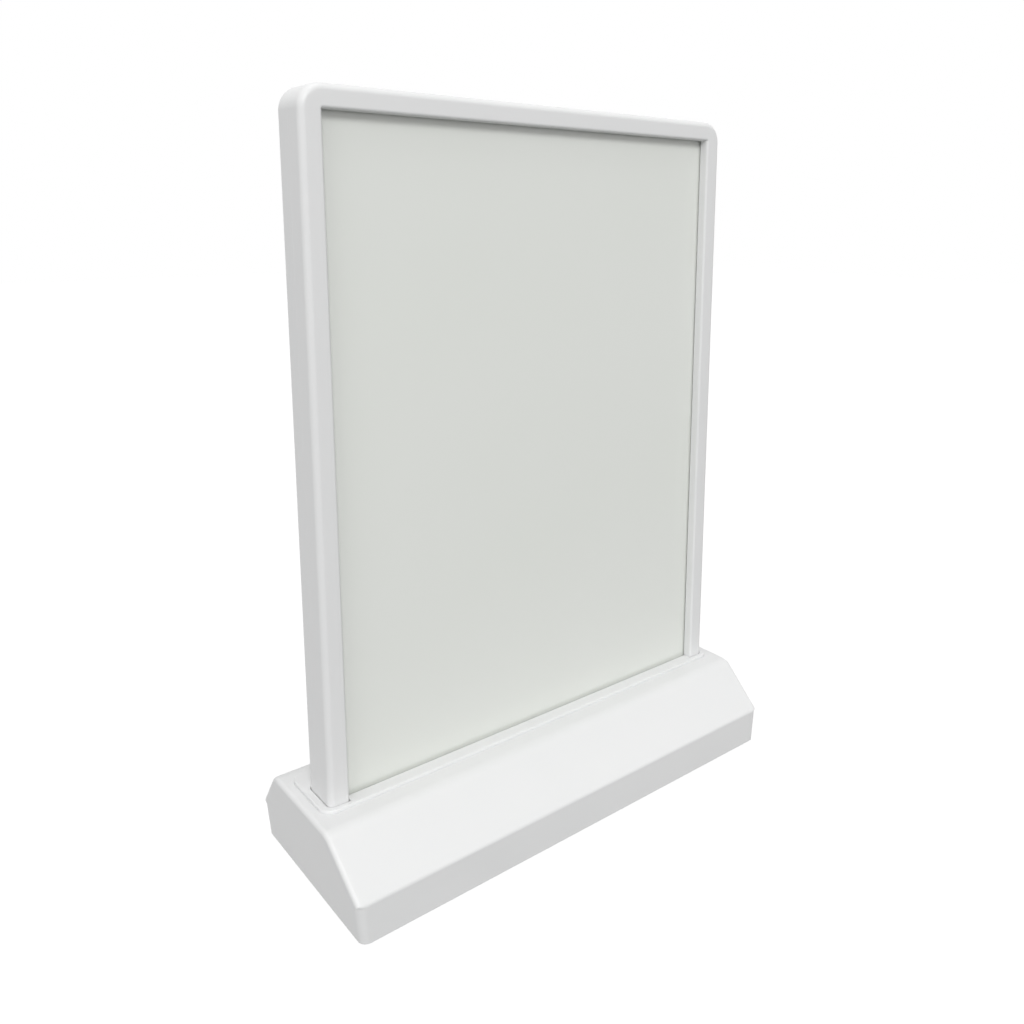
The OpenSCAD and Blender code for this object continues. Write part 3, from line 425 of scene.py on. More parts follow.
# %% [markdown]
# Near each end the profile is drawn in step by step along a quarter circle, which rounds the edge round
# the end. The upright corners of the lips are rounder than the edges above them, as they are in the photo.

# %% Round the ends
END_R = 2.2 * MM
LIP_END_R = 3.8 * MM
INNER_END_R = 0.8 * MM
END_LEAN = 3 * MM
LEAN_Z = TOP_Z - END_R


def end_ring(side, inset, edge_r, lip_r, angle):
    """Profile at one step round the end's edge, which is rounder along the lips than above them."""
    ring = []
    inward = 1 - math.cos(angle)
    upper = side_profile(inset + edge_r * inward)
    lower = side_profile(inset + lip_r * inward)
    for i, (high, low) in enumerate(zip(upper, lower)):
        past_lip = min(i, len(upper) - 1 - i) - 1
        share = min(max(1 - past_lip / ARC_STEPS, 0), 1)
        place = high.lerp(low, share)
        radius = edge_r + (lip_r - edge_r) * share
        lean = END_LEAN * (LEAN_Z - place.y) / LEAN_Z
        reach = HALF_W - inset - radius * (1 - math.sin(angle)) - lean
        ring.append(Vector((side * reach, place.x, place.y)))
    return ring


def skin(inset, edge_r, lip_r, steps=8):
    """Rings of one skin of the housing from the left end to the right end."""
    angles = [math.pi / 2 * k / steps for k in range(steps + 1)]
    left = [end_ring(-1, inset, edge_r, lip_r, angle) for angle in reversed(angles)]
    right = [end_ring(1, inset, edge_r, lip_r, angle) for angle in angles]
    return left + right


print("outer skin has", len(skin(0, END_R, LIP_END_R)), "rings")

# %% [markdown]
# An inner skin at the wall's distance makes the base a shell. The two skins meet in a flat rim round the
# open underside, where the bottom cover sits.

# %% Join the skins
def housing_shell():
    """Outer and inner skin, joined by the rim round the underside."""
    points = []
    faces = []
    rims = []
    for rings in (skin(0, END_R, LIP_END_R), skin(WALL, INNER_END_R, INNER_END_R)):
        first = len(points)
        count = len(rings[0])
        last = first + (len(rings) - 1) * count
        points.extend(p for ring in rings for p in ring)
        for row in range(first, last, count):
            for i in range(count - 1):
                faces.append((row + i, row + i + 1, row + count + i + 1, row + count + i))
        faces.append(tuple(range(first, first + count)))
        faces.append(tuple(range(last, last + count)))
        back = list(range(first, last + 1, count))
        rims.append(back + [i + count - 1 for i in reversed(back)])
    for i in range(len(rims[0])):
        faces.append((rims[0][i - 1], rims[0][i], rims[1][i], rims[1][i - 1]))
    return new_piece("base_housing_shell", points, faces)


shell = housing_shell()
print("shell has", len(shell.data.polygons), "faces")

# %% [markdown]
# Then the openings are cut: one for the socket collar in the flat top, and in the back lip a finger dish
# with the button's hole, a small hole for the charge light and an oval one for the charging socket. Each
# cutter is a stack of rings, and its last ring flares to break the sharp edge, as a mould does.

# %% Functions that stack, turn and cut
def stacked(name, rings):
    """Solid through a stack of rings with equal numbers of points, closed at both ends."""
    count = len(rings[0])
    faces = [tuple(range(count)), tuple(range((len(rings) - 1) * count, len(rings) * count))]
    for low in range(0, (len(rings) - 1) * count, count):
        for i in range(count):
            j = (i + 1) % count
            faces.append((low + i, low + j, low + count + j, low + count + i))
    return new_piece(name, [p for ring in rings for p in ring], faces)


def turned(name, outline, place=Vector((0, 0, 0)), axis=Vector((0, 0, 1)), steps=64):
    """Lathe: spins an outline of (radius, height) pairs round an axis through the place."""
    aim = axis.to_track_quat("Z", "Y").to_matrix()
    angles = [2 * math.pi * k / steps for k in range(steps)]
    rings = []
    for radius, height in outline:
        ring = [Vector((radius * math.cos(a), radius * math.sin(a), height)) for a in angles]
        rings.append([place + aim @ p for p in ring])
    return stacked(name, rings)


def bake(piece):
    """Turns a piece's modifiers into a plain mesh."""
    graph = bpy.context.evaluated_depsgraph_get()
    mesh = bpy.data.meshes.new_from_object(piece.evaluated_get(graph), depsgraph=graph)
    piece.modifiers.clear()
    piece.data = mesh


def combine(piece, operation, *tools):
    """Adds the tools' shapes to a piece or cuts them out of it, and throws the tools away."""
    for tool in tools:
        step = piece.modifiers.new(operation.lower(), "BOOLEAN")
        step.operation = operation
        step.solver = "EXACT"
        step.object = tool
    bake(piece)
    for tool in tools:
        bpy.data.objects.remove(tool)


def plan_ring(half_x, front, back, radius, z):
    """Rounded rectangle lying at a height."""
    corners = [(half_x, back), (-half_x, back), (-half_x, front), (half_x, front)]
    return [Vector((p.x, p.y, z)) for p in rounded(corners, [radius] * 4)]


print("a rounded rectangle has", len(plan_ring(1, -1, 1, 0.2, 0)), "points")

# %% Measure the openings
PAST = 1 * MM
FLARE = 0.07 * MM
SEAM = 0.06 * MM
COLLAR_R = 6 * MM
COLLAR_RIM = 2.6 * MM
COLLAR_RIM_BACK = 12.3 * MM
BUTTON_R = 3.8 * MM
BUTTON_GAP = 0.3 * MM
DISH_R = 5.5 * MM
DISH_DEPTH = 0.8 * MM
PIPE_R = 1.2 * MM
PIPE_GAP = 0.05 * MM
USB_GAP = 0.3 * MM
# the oval's ends keep a hair of straight edge
NEARLY_ROUND = 0.999
BACKWARD = Vector((0, 1, 0))

frame_low, frame_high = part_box("front_frame")
collar_low, collar_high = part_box("socket_collar")
usb_low, usb_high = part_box("usb_shell")
FRAME_HALF_T = -frame_low.y
COLLAR_FRONT = -FRAME_HALF_T - COLLAR_RIM
COLLAR_BACK = FRAME_HALF_T + COLLAR_RIM_BACK


def middle_on_lip(node):
    """Middle of a part, brought to the back lip's face."""
    return middle_of(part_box(node), y=LIP_Y)


usb_at = middle_on_lip("usb_shell")


def oval_ring(grow, y):
    """Upright oval round the charging socket at a distance from the back lip's face."""
    half_x = (usb_high.x - usb_low.x) / 2 + grow
    half_z = (usb_high.z - usb_low.z) / 2 + grow
    corners = [(half_x, half_z), (-half_x, half_z), (-half_x, -half_z), (half_x, -half_z)]
    radii = [half_z * NEARLY_ROUND] * 4
    return [usb_at + Vector((p.x, y, p.y)) for p in rounded(corners, radii, ARC_STEPS)]


print("collar opening is", round((COLLAR_BACK - COLLAR_FRONT) / MM, 1), "mm deep")

# %% Cut the openings
levels = ((TOP_Z - WALL - PAST, SEAM), (TOP_Z - FLARE, SEAM), (TOP_Z + PAST, SEAM + FLARE + PAST))
opening = stacked("opening", [plan_ring(collar_high.x + grow, COLLAR_FRONT - grow, COLLAR_BACK + grow,
                                        COLLAR_R + grow, z) for z, grow in levels])
hole_r = BUTTON_R + BUTTON_GAP
dish_outline = [(hole_r, -WALL - PAST), (hole_r, -DISH_DEPTH - FLARE), (hole_r + FLARE, -DISH_DEPTH),
                (DISH_R - FLARE, -DISH_DEPTH), (DISH_R, FLARE - DISH_DEPTH), (DISH_R, -FLARE),
                (DISH_R + FLARE + PAST, PAST)]
dish = turned("dish", dish_outline, middle_on_lip("button_cap"), BACKWARD)
pipe_r = PIPE_R + PIPE_GAP
pipe_hole = turned("pipe_hole", [(pipe_r, -WALL - PAST), (pipe_r, PAST)], middle_on_lip("light_pipe"),
                   BACKWARD)
usb_hole = stacked("usb_hole", [oval_ring(USB_GAP, -WALL - PAST), oval_ring(USB_GAP, -FLARE),
                                oval_ring(USB_GAP + FLARE + PAST, PAST)])
combine(shell, "DIFFERENCE", opening, dish, pipe_hole, usb_hole)
print("cut shell has", len(shell.data.polygons), "faces")

# %% [markdown]
# A finished piece is smoothed between its creases, gets its finish, and rides on its body in place of the
# plain part. Every piece goes through this one function, so nothing is forgotten.

# %% Hang the shell on the base
def settle(piece, body, slot, *cad_nodes, crease=32):
    """Smooths a piece between its creases and hangs it on its body in place of the CAD nodes."""
    piece.data.shade_smooth()
    piece.data.set_sharp_from_angle(angle=math.radians(crease))
    even = piece.modifiers.new("even shading", "WEIGHTED_NORMAL")
    even.keep_sharp = True
    bake(piece)
    if not piece.data.materials:
        piece.data.materials.append(finishes[slot])
    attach(piece, body)
    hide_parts(*cad_nodes)
    size = [round((max(c) - min(c)) / MM, 1) for c in zip(*(v.co for v in piece.data.vertices))]
    print(piece.name, "has", len(piece.data.polygons), "faces,", size, "mm")


settle(shell, "base", "white_abs", "base_housing")

# %% [markdown]
# ## Frame halves
# The frame is moulded in two halves that meet in the middle of its edge. Each half is one section that
# runs up the left post, round the corners, along the top and down the right post, so a geometry tree
# sweeps the section along that path. Two bars at the foot join the posts and carry the sheets; they hide
# in the socket. The rear half is the front one turned round.

# %% Draw the frame's section
BEZEL = 9.05 * MM
CORNER_R = 9.55 * MM
EDGE_R = 2.8 * MM
BEZEL_EDGE_R = 1.2 * MM
FRAME_WALL = 2.2 * MM
RETURN_T = 1.8 * MM
RETURN_DEPTH = 4.6 * MM
PARTING = 0.05 * MM


def frame_section():
    """Section of a frame half as (distance in front of the joint, distance in from the outer edge)."""
    depths = [(FRAME_HALF_T, PARTING), (FRAME_HALF_T - PARTING, 0), (0, 0), (0, BEZEL),
              (RETURN_DEPTH, BEZEL), (RETURN_DEPTH, BEZEL - RETURN_T), (FRAME_WALL, BEZEL - RETURN_T),
              (FRAME_WALL, FRAME_WALL), (FRAME_HALF_T, FRAME_WALL)]
    radii = [0, 0, EDGE_R, BEZEL_EDGE_R, 0, 0, 0, 0, 0]
    return rounded([(FRAME_HALF_T - depth, inward) for depth, inward in depths], radii)


outline = frame_section()
print("section has", len(outline), "points")

# %% [markdown]
# The tree starts from a line of four points. Their numbers 0 to 3 place them at the left foot, the left
# top, the right top and the right foot. The corners are then rounded and the section is swept along the
# path. A cube makes each bar, and all of it is joined to one solid.

# %% Build the sweeping tree
CORNER_STEPS = 14


def new_tree(name, output, inputs):
    """Geometry tree with an output and inputs of the named kinds, and what its inputs give."""
    tree = bpy.data.node_groups.new(name, "GeometryNodeTree")
    tree.interface.new_socket(output, in_out="OUTPUT", socket_type="NodeSocketGeometry")
    for label, kind in inputs.items():
        tree.interface.new_socket(label, in_out="INPUT", socket_type="NodeSocket" + kind)
    return tree, add_node(tree, "NodeGroupInput").outputs


def sweep_tree():
    """Geometry tree that sweeps a section along the frame and adds the bars at its foot."""
    lengths = ("Width", "Foot", "Top", "Corner radius", "Turn", "Bar span", "Bar depth", "Bar height",
               "Bar place", "Ledge depth", "Ledge height", "Ledge place")
    inputs = {"Section": "Geometry", "Finish": "Material", **dict.fromkeys(lengths, "Float")}
    tree, given = new_tree("frame sweep", "Frame half", inputs)

    number = add_node(tree, "GeometryNodeInputIndex")
    step = add_node(tree, "ShaderNodeMath", {0: number, 1: 1.5}, operation="SUBTRACT")
    side = add_node(tree, "ShaderNodeMath", {0: step}, operation="SIGN")
    half_width = add_node(tree, "ShaderNodeMath", {0: given["Width"], 1: 0.5}, operation="MULTIPLY")
    across = add_node(tree, "ShaderNodeMath", {0: side, 1: half_width}, operation="MULTIPLY")
    outer = add_node(tree, "ShaderNodeMath", {0: step}, operation="ABSOLUTE")
    at_foot = add_node(tree, "ShaderNodeMath", {0: outer}, operation="FLOOR")
    drop = add_node(tree, "ShaderNodeMath", {0: given["Foot"], 1: given["Top"]}, operation="SUBTRACT")
    height = add_node(tree, "ShaderNodeMath", {0: at_foot, 1: drop, 2: given["Top"]},
                      operation="MULTIPLY_ADD")
    corner = add_node(tree, "ShaderNodeCombineXYZ", {"X": across, "Z": height})
    line = add_node(tree, "GeometryNodeMeshLine", {"Count": 4})
    placed = add_node(tree, "GeometryNodeSetPosition", {"Geometry": line, "Position": corner})
    path = add_node(tree, "GeometryNodeMeshToCurve", {"Mesh": placed})
    bent = add_node(tree, "GeometryNodeFilletCurve",
                    {"Curve": path, "Count": CORNER_STEPS, "Radius": given["Corner radius"]},
                    mode="POLY")
    facing = add_node(tree, "GeometryNodeSetCurveNormal", {"Curve": bent, "Normal": (0, -1, 0)},
                      mode="FREE")
    section = add_node(tree, "GeometryNodeMeshToCurve", {"Mesh": given["Section"]})
    swept = add_node(tree, "GeometryNodeCurveToMesh",
                     {"Curve": facing, "Profile Curve": section, "Fill Caps": True})

    union = add_node(tree, "GeometryNodeMeshBoolean", {"Mesh 2": swept}, operation="UNION", solver="EXACT")
    for bar in ("Bar", "Ledge"):
        size = add_node(tree, "ShaderNodeCombineXYZ", {"X": given["Bar span"], "Y": given[bar + " depth"],
                                                       "Z": given[bar + " height"]})
        stick = add_node(tree, "GeometryNodeMeshCube", {"Size": size})
        rise = add_node(tree, "ShaderNodeMath", {0: given[bar + " height"], 1: 0.5, 2: given["Foot"]},
                        operation="MULTIPLY_ADD")
        spot = add_node(tree, "ShaderNodeCombineXYZ", {"Y": given[bar + " place"], "Z": rise})
        moved = add_node(tree, "GeometryNodeTransform", {"Geometry": stick, "Translation": spot})
        fill(tree, union, {"Mesh 2": moved})
    turn = add_node(tree, "ShaderNodeCombineXYZ", {"Z": given["Turn"]})
    aimed = add_node(tree, "GeometryNodeTransform", {"Geometry": union, "Rotation": turn})
    real = add_node(tree, "GeometryNodeRealizeInstances", {"Geometry": aimed})
    finished = add_node(tree, "GeometryNodeSetMaterial", {"Geometry": real, "Material": given["Finish"]})
    add_node(tree, "NodeGroupOutput", {"Frame half": finished})
    return tree


sweep = sweep_tree()
print("frame sweep has", len(sweep.nodes), "nodes")

# %% [markdown]
# A geometry tree is hung on a piece together with its sizes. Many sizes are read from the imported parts, so
# one function finds the box of every separate solid in a part.

# %% Functions that grow, measure and block out
SAME_POINT = 0.001 * MM


def give(piece, tree, sizes):
    """Hangs a geometry tree on a piece and sets its named inputs."""
    grower = piece.modifiers.new(tree.name, "NODES")
    grower.node_group = tree
    for item in tree.interface.items_tree:
        if item.name in sizes and item.in_out == "INPUT":
            grower[item.identifier] = sizes[item.name]


def solids(node):
    """Boxes of the separate solids in a CAD node, as (lowest corner, highest corner) pairs."""
    shape = bmesh.new()
    shape.from_mesh(frame["nodes"][node].data)
    bmesh.ops.remove_doubles(shape, verts=shape.verts, dist=SAME_POINT)
    left = set(shape.verts)
    boxes = []
    while left:
        waiting = [left.pop()]
        found = []
        while waiting:
            vert = waiting.pop()
            found.append(tuple(vert.co))
            near = {edge.other_vert(vert) for edge in vert.link_edges} & left
            left -= near
            waiting.extend(near)
        boxes.append((Vector([min(c) for c in zip(*found)]), Vector([max(c) for c in zip(*found)])))
    shape.free()
    return sorted(boxes, key=lambda box: tuple(box[0]))


def block(name, low, high):
    """Block between two corners."""
    plan = ((high.x, high.y), (low.x, high.y), (low.x, low.y), (high.x, low.y))
    return stacked(name, [[Vector((x, y, z)) for x, y in plan] for z in (low.z, high.z)])


print("the lamp board carries", len(solids("led_chips")), "lamps")

# %% [markdown]
# The sizes of the bars follow what they carry: the ledge stops short of the lamp board and is as high as
# the sheets' lower edge. A block closes the foot of each post.

# %% Sweep the frame halves
TIE_Y = 4.8 * MM
TIE_T = 1.2 * MM
TIE_H = 7 * MM
TIE_LAP = 1.6 * MM
LEDGE_GAP = 0.4 * MM
SHEET_GAP = 0.3 * MM
FUSE = 0.5 * MM

cover_low, cover_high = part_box("front_cover")
board_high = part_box("led_board")[1]
ledge_back = -board_high.y - LEDGE_GAP
bar_middle = -TIE_Y - TIE_T / 2
sizes = {"Width": 2 * frame_high.x, "Foot": frame_low.z, "Top": frame_high.z, "Corner radius": CORNER_R,
         "Bar span": 2 * (frame_high.x - BEZEL + TIE_LAP), "Bar depth": TIE_T, "Bar height": TIE_H,
         "Bar place": bar_middle, "Ledge depth": ledge_back - bar_middle,
         "Ledge height": cover_low.z - frame_low.z, "Ledge place": (ledge_back + bar_middle) / 2,
         "Finish": finishes["white_abs"]}
loop = [(i, (i + 1) % len(outline)) for i in range(len(outline))]
plug_depth = FRAME_HALF_T - FRAME_WALL + FUSE
inner = cover_high.x + SHEET_GAP
outer = frame_high.x - FRAME_WALL + FUSE
turns = (("front_frame", 0, -plug_depth, 0), ("rear_frame", math.pi, 0, plug_depth))
halves = {}
for name, angle, front, back in turns:
    rail = new_piece(name + "_moulding", [(p.x, p.y, 0) for p in outline], [], loop)
    give(rail, sweep, {**sizes, "Turn": angle})
    bake(rail)
    left_plug = block("plug", Vector((-outer, front, frame_low.z)), Vector((-inner, back, cover_low.z)))
    right_plug = block("plug", Vector((inner, front, frame_low.z)), Vector((outer, back, cover_low.z)))
    combine(rail, "UNION", left_plug, right_plug)
    halves[name] = rail
    print(name, "has", len(rail.data.polygons), "faces before its seats")

# %% [markdown]
# The rear half gets a seat for each of the two screws that hold the halves together at the foot. The
# seats' places are read from the screws.

# %% Cut the screw seats
HEAD_H = 1.5 * MM
HEAD_SUNK = 0.1 * MM
SEAT_DEPTH = HEAD_H + HEAD_SUNK
SEAT_GAP = 0.2 * MM
FRAME_SCREW_R = 1 * MM

seats = []
for low, high in solids("frame_screws"):
    seat_r = (high.x - low.x) / 2 + SEAT_GAP
    pass_r = FRAME_SCREW_R + SEAT_GAP
    seat_at = middle_of((low, high), y=FRAME_HALF_T)
    seat_outline = [(pass_r, -FRAME_WALL - PAST), (pass_r, -SEAT_DEPTH), (seat_r, -SEAT_DEPTH),
                    (seat_r, PAST)]
    seats.append(turned("seat", seat_outline, seat_at, BACKWARD))
combine(halves["rear_frame"], "DIFFERENCE", *seats)
for name, rail in halves.items():
    settle(rail, "panel", "white_abs", name)

# %% [markdown]
# ## Socket collar
# The collar is a separate moulding: a low plate with a soft upper edge that shows round the panel's foot,
# a flange that holds it under the flat top, and the socket itself, a deep well in the shape of the
# frame's two posts and the bar between them. It is built up from stacks of rings. Then the socket, a
# hollow that saves plastic, the screw holes and the hole for the leads are cut out.

# %% Build up the collar
COLLAR_TOP = collar_high.z
COLLAR_EDGE_R = 0.5 * MM
FLANGE_GAP = 0.2 * MM
FLANGE_TOP = TOP_Z - WALL - FLANGE_GAP
FLANGE_T = 2.2 * MM
FLANGE_LOW = FLANGE_TOP - FLANGE_T
FLANGE_LAP = 3 * MM
FLANGE_SHORT = 2 * MM
FLANGE_R = 2 * MM
SOCKET_CLEAR = 0.3 * MM
SOCKET_WALL = 2 * MM
EAR_R = 3.9 * MM


def socket_ring(grow, z):
    """Plan of the posts and the bar between them at a height, grown by a clearance."""
    post_x = frame_high.x - BEZEL - grow
    post_y = FRAME_HALF_T + grow
    quarter = [(frame_high.x + grow, post_y), (post_x, post_y), (post_x, TIE_Y + TIE_T + grow)]
    back = quarter + [(-x, y) for x, y in reversed(quarter)]
    corners = back + [(-x, -y) for x, y in back]
    radii = [EDGE_R + grow, 0, 0, 0, 0, EDGE_R + grow] * 2
    return [Vector((p.x, p.y, z)) for p in rounded(corners, radii)]


def soft_edge(face, edge, steps=6):
    """Heights and insets of a rounded edge up to a flat face."""
    angles = [math.pi / 2 * k / steps for k in range(steps + 1)]
    return [(face - edge * (1 - math.sin(a)), edge * (1 - math.cos(a))) for a in angles]


levels = [(FLANGE_TOP - FUSE, 0)] + soft_edge(COLLAR_TOP, COLLAR_EDGE_R)
collar = stacked("socket_collar_moulding",
                 [plan_ring(collar_high.x - inset, COLLAR_FRONT + inset, COLLAR_BACK - inset,
                            COLLAR_R - inset, z) for z, inset in levels])
flange = stacked("flange", [plan_ring(collar_high.x - FLANGE_SHORT, COLLAR_FRONT - FLANGE_LAP,
                                      COLLAR_BACK + FLANGE_LAP, FLANGE_R, z)
                            for z in (FLANGE_LOW, FLANGE_TOP)])
well = stacked("well", [socket_ring(SOCKET_CLEAR + SOCKET_WALL, z)
                        for z in (collar_low.z, FLANGE_TOP + FUSE)])
ear_places = [middle_of(box, z=FLANGE_LOW) for box in solids("collar_screws")]
ears = [turned("ear", [(EAR_R, 0), (EAR_R, FLANGE_T)], place) for place in ear_places if place.y < 0]
combine(collar, "UNION", flange, well, *ears)
print("collar has", len(collar.data.polygons), "faces before its holes")

# %% Cut the socket and the holes
LEAD_IN = 0.2 * MM
EAR_HOLE_R = 2.7 * MM
LEAD_HOLE_R = 2.5 * MM
LEAD_HOLE_INSET = 5 * MM

levels = ((frame_low.z, SOCKET_CLEAR), (COLLAR_TOP - LEAD_IN, SOCKET_CLEAR),
          (COLLAR_TOP + PAST, SOCKET_CLEAR + LEAD_IN + PAST))
socket = stacked("socket", [socket_ring(grow, z) for z, grow in levels])
hollow = block("hollow", Vector((FLANGE_SHORT + COLLAR_R - collar_high.x,
                                 FRAME_HALF_T + SOCKET_CLEAR + SOCKET_WALL, FLANGE_LOW - PAST)),
               Vector((collar_high.x - FLANGE_SHORT - COLLAR_R, COLLAR_BACK - SOCKET_WALL,
                       COLLAR_TOP - SOCKET_WALL)))
lead_at = Vector((board_high.x - LEAD_HOLE_INSET, 0, collar_low.z))
lead_hole = turned("lead_hole", [(LEAD_HOLE_R, -PAST), (LEAD_HOLE_R, SOCKET_WALL + PAST)], lead_at)
ear_outline = [(EAR_HOLE_R, -PAST), (EAR_HOLE_R, FLANGE_T + FUSE / 2)]
ear_holes = [turned("ear_hole", ear_outline, place) for place in ear_places]
combine(collar, "DIFFERENCE", socket, hollow, lead_hole, *ear_holes)
settle(collar, "base", "white_abs", "socket_collar")

# %% [markdown]
# ## Panel sheets
# The sheet that shows in the window is clear acrylic, cut with square corners and polished, with the opal
# diffuser right behind it. Both are cut from sheet stock, so their edges are only broken by a file.

# %% Cut the cover sheets
FILED_EDGE = 0.2 * MM


def sheet(name, low, high, edge):
    """Upright sheet with broken edges."""
    rings = []
    for y, inset in ((low.y, edge), (low.y + edge, 0), (high.y - edge, 0), (high.y, edge)):
        left, right = low.x + inset, high.x - inset
        foot, top = low.z + inset, high.z - inset
        corners = ((right, foot), (right, top), (left, top), (left, foot))
        rings.append([Vector((x, y, z)) for x, z in corners])
    return stacked(name, rings)


for name in ("front_cover", "rear_cover"):
    settle(sheet(name + "_sheet", *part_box(name), FILED_EDGE), "panel", "panel_cover", name)

# %% [markdown]
# ## Button, charge light and charging socket
# These three sit in the back lip. The button's cap and the pipe of the charge light are round, so they
# are turned on a lathe: the cap has a soft edge and a hollow for the fingertip, and behind the wall a
# flange that keeps it in. The charging socket is a drawn steel oval with a rolled mouth.

# %% Turn the button and the light pipe
CAP_EDGE_R = 0.5 * MM
CAP_HOLLOW = 0.3 * MM
HOLLOW_STEPS = (0.9, 0.75, 0.6, 0.4, 0.2)
CAP_FLANGE_T = 1.2 * MM
STEM_R = 1.5 * MM
PIPE_EDGE_R = 0.3 * MM

button_low, button_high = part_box("button_cap")
face = button_high.y - LIP_Y
flange_r = (button_high.x - button_low.x) / 2
hollow_r = BUTTON_R - CAP_EDGE_R
cap_outline = [(STEM_R, button_low.y - LIP_Y), (STEM_R, -WALL - CAP_FLANGE_T),
               (flange_r, -WALL - CAP_FLANGE_T), (flange_r, -WALL), (BUTTON_R, -WALL)]
cap_outline += [(BUTTON_R - inset, height) for height, inset in soft_edge(face, CAP_EDGE_R)]
for share in HOLLOW_STEPS:
    cap_outline.append((hollow_r * share, face - CAP_HOLLOW * (1 - share ** 2)))
cap = turned("button_cap_turned", cap_outline, middle_on_lip("button_cap"), BACKWARD)
settle(cap, "button", "grey_abs", "button_cap")

pipe_low, pipe_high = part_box("light_pipe")
pipe_outline = [(PIPE_R, pipe_low.y - LIP_Y)]
for height, inset in soft_edge(pipe_high.y - LIP_Y, PIPE_EDGE_R):
    pipe_outline.append((PIPE_R - inset, height))
pipe = turned("light_pipe_turned", pipe_outline, middle_on_lip("light_pipe"), BACKWARD)
settle(pipe, "base", "clear_acrylic", "light_pipe")

# %% Draw the charging socket
USB_SKIN = 0.3 * MM
USB_ROLL = 0.1 * MM
USB_FLOOR = 1 * MM

mouth = usb_high.y - LIP_Y
root = usb_low.y - LIP_Y
levels = ((0, root), (0, mouth - USB_ROLL), (-USB_ROLL, mouth), (USB_ROLL - USB_SKIN, mouth),
          (-USB_SKIN, mouth - USB_ROLL), (-USB_SKIN, root + USB_FLOOR))
socket_shell = stacked("charging_socket_shell", [oval_ring(grow, y) for grow, y in levels])
settle(socket_shell, "base", "steel", "usb_shell")

# %% [markdown]
# ## Feet and screws
# The rubber feet and the screws are copies of a few shapes. One shape of each kind is turned on the
# lathe, and a geometry tree sets out a copy at each place. A screw stops at any angle when it is driven
# home, so the tree gives each copy a random turn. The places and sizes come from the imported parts.

# %% Build the tree that sets out copies
def copies_tree():
    """Geometry tree that puts a copy of a shape on each point and turns it at random."""
    inputs = {"Places": "Geometry", "Shape": "Object", "Tilt": "Float", "Most turn": "Float",
              "Seed": "Int", "Finish": "Material"}
    tree, given = new_tree("set out copies", "Copies", inputs)
    shape = add_node(tree, "GeometryNodeObjectInfo", {"Object": given["Shape"]}).outputs["Geometry"]
    tilt = add_node(tree, "ShaderNodeCombineXYZ", {"X": given["Tilt"]})
    spread = add_node(tree, "GeometryNodeInstanceOnPoints",
                      {"Points": given["Places"], "Instance": shape, "Rotation": tilt})
    chance = add_node(tree, "FunctionNodeRandomValue", {3: given["Most turn"], "Seed": given["Seed"]},
                      data_type="FLOAT")
    turn = add_node(tree, "ShaderNodeCombineXYZ", {"Z": chance.outputs[1]})
    driven = add_node(tree, "GeometryNodeRotateInstances",
                      {"Instances": spread, "Rotation": turn, "Local Space": True})
    real = add_node(tree, "GeometryNodeRealizeInstances", {"Geometry": driven})
    finished = add_node(tree, "GeometryNodeSetMaterial", {"Geometry": real, "Material": given["Finish"]})
    add_node(tree, "NodeGroupOutput", {"Copies": finished})
    return tree


copies = copies_tree()
print("copying tree has", len(copies.nodes), "nodes")

# %% Set out the feet
SEED = 5
FOOT_BEVEL = 0.4 * MM
FOOT_DISH = 0.25 * MM
FOOT_RING = 2.2 * MM
# how far the middle of an arc lies inside its corner, as a share of its radius
ARC_MIDDLE = 0.3


def set_out(name, node, shape, slot, body, places, tilt=0.0, most_turn=0.0):
    """Copies of a shape at the places, as one plain mesh in a CAD node's stead."""
    piece = new_piece(name, places, [])
    give(piece, copies, {"Shape": shape, "Tilt": tilt, "Most turn": most_turn, "Seed": SEED,
                         "Finish": finishes[slot]})
    bake(piece)
    bpy.data.objects.remove(shape)
    settle(piece, body, slot, node)


boxes = solids("rubber_feet")
size = boxes[0][1] - boxes[0][0]
foot_r = size.x / 2
dish_r = foot_r - FOOT_RING
foot = turned("foot", [(dish_r / 2, FOOT_DISH), (dish_r, FOOT_DISH), (dish_r + FOOT_DISH, 0),
                       (foot_r - FOOT_BEVEL, 0), (foot_r - ARC_MIDDLE * FOOT_BEVEL, ARC_MIDDLE * FOOT_BEVEL),
                       (foot_r, FOOT_BEVEL), (foot_r, size.z)])
places = [middle_of(box, z=box[0].z) for box in boxes]
set_out("rubber_foot_set", "rubber_feet", foot, "rubber", "base", places)

# %% [markdown]
# The screws under the base point up and have flush heads in the cover and pan heads inside. The two in
# the frame's foot point forward from the back. Every head has a cross that narrows towards its bottom.

# %% Function for a screw
HEAD_EDGE = 0.4 * MM
HEAD_RIM = 0.1 * MM
SCREW_R = 1.3 * MM
SCREW_TIP = 0.8 * MM
TIP_R = 0.3 * MM
CROSS_DEPTH = 0.75 * MM
CROSS_REACH = 0.62
CROSS_WIDTH = 0.18
CROSS_TAPER = 0.7


def pan_head(head_r, shank_r):
    """Outline of a pan head with a soft edge, down to its shank."""
    return [(head_r - HEAD_EDGE, 0), (head_r - ARC_MIDDLE * HEAD_EDGE, ARC_MIDDLE * HEAD_EDGE),
            (head_r, HEAD_EDGE), (head_r, HEAD_H), (shank_r, HEAD_H)]


def flush_head(head_r, shank_r):
    """Outline of a countersunk head, down to its shank."""
    return [(head_r - HEAD_RIM, 0), (head_r, HEAD_RIM), (shank_r, head_r - shank_r)]


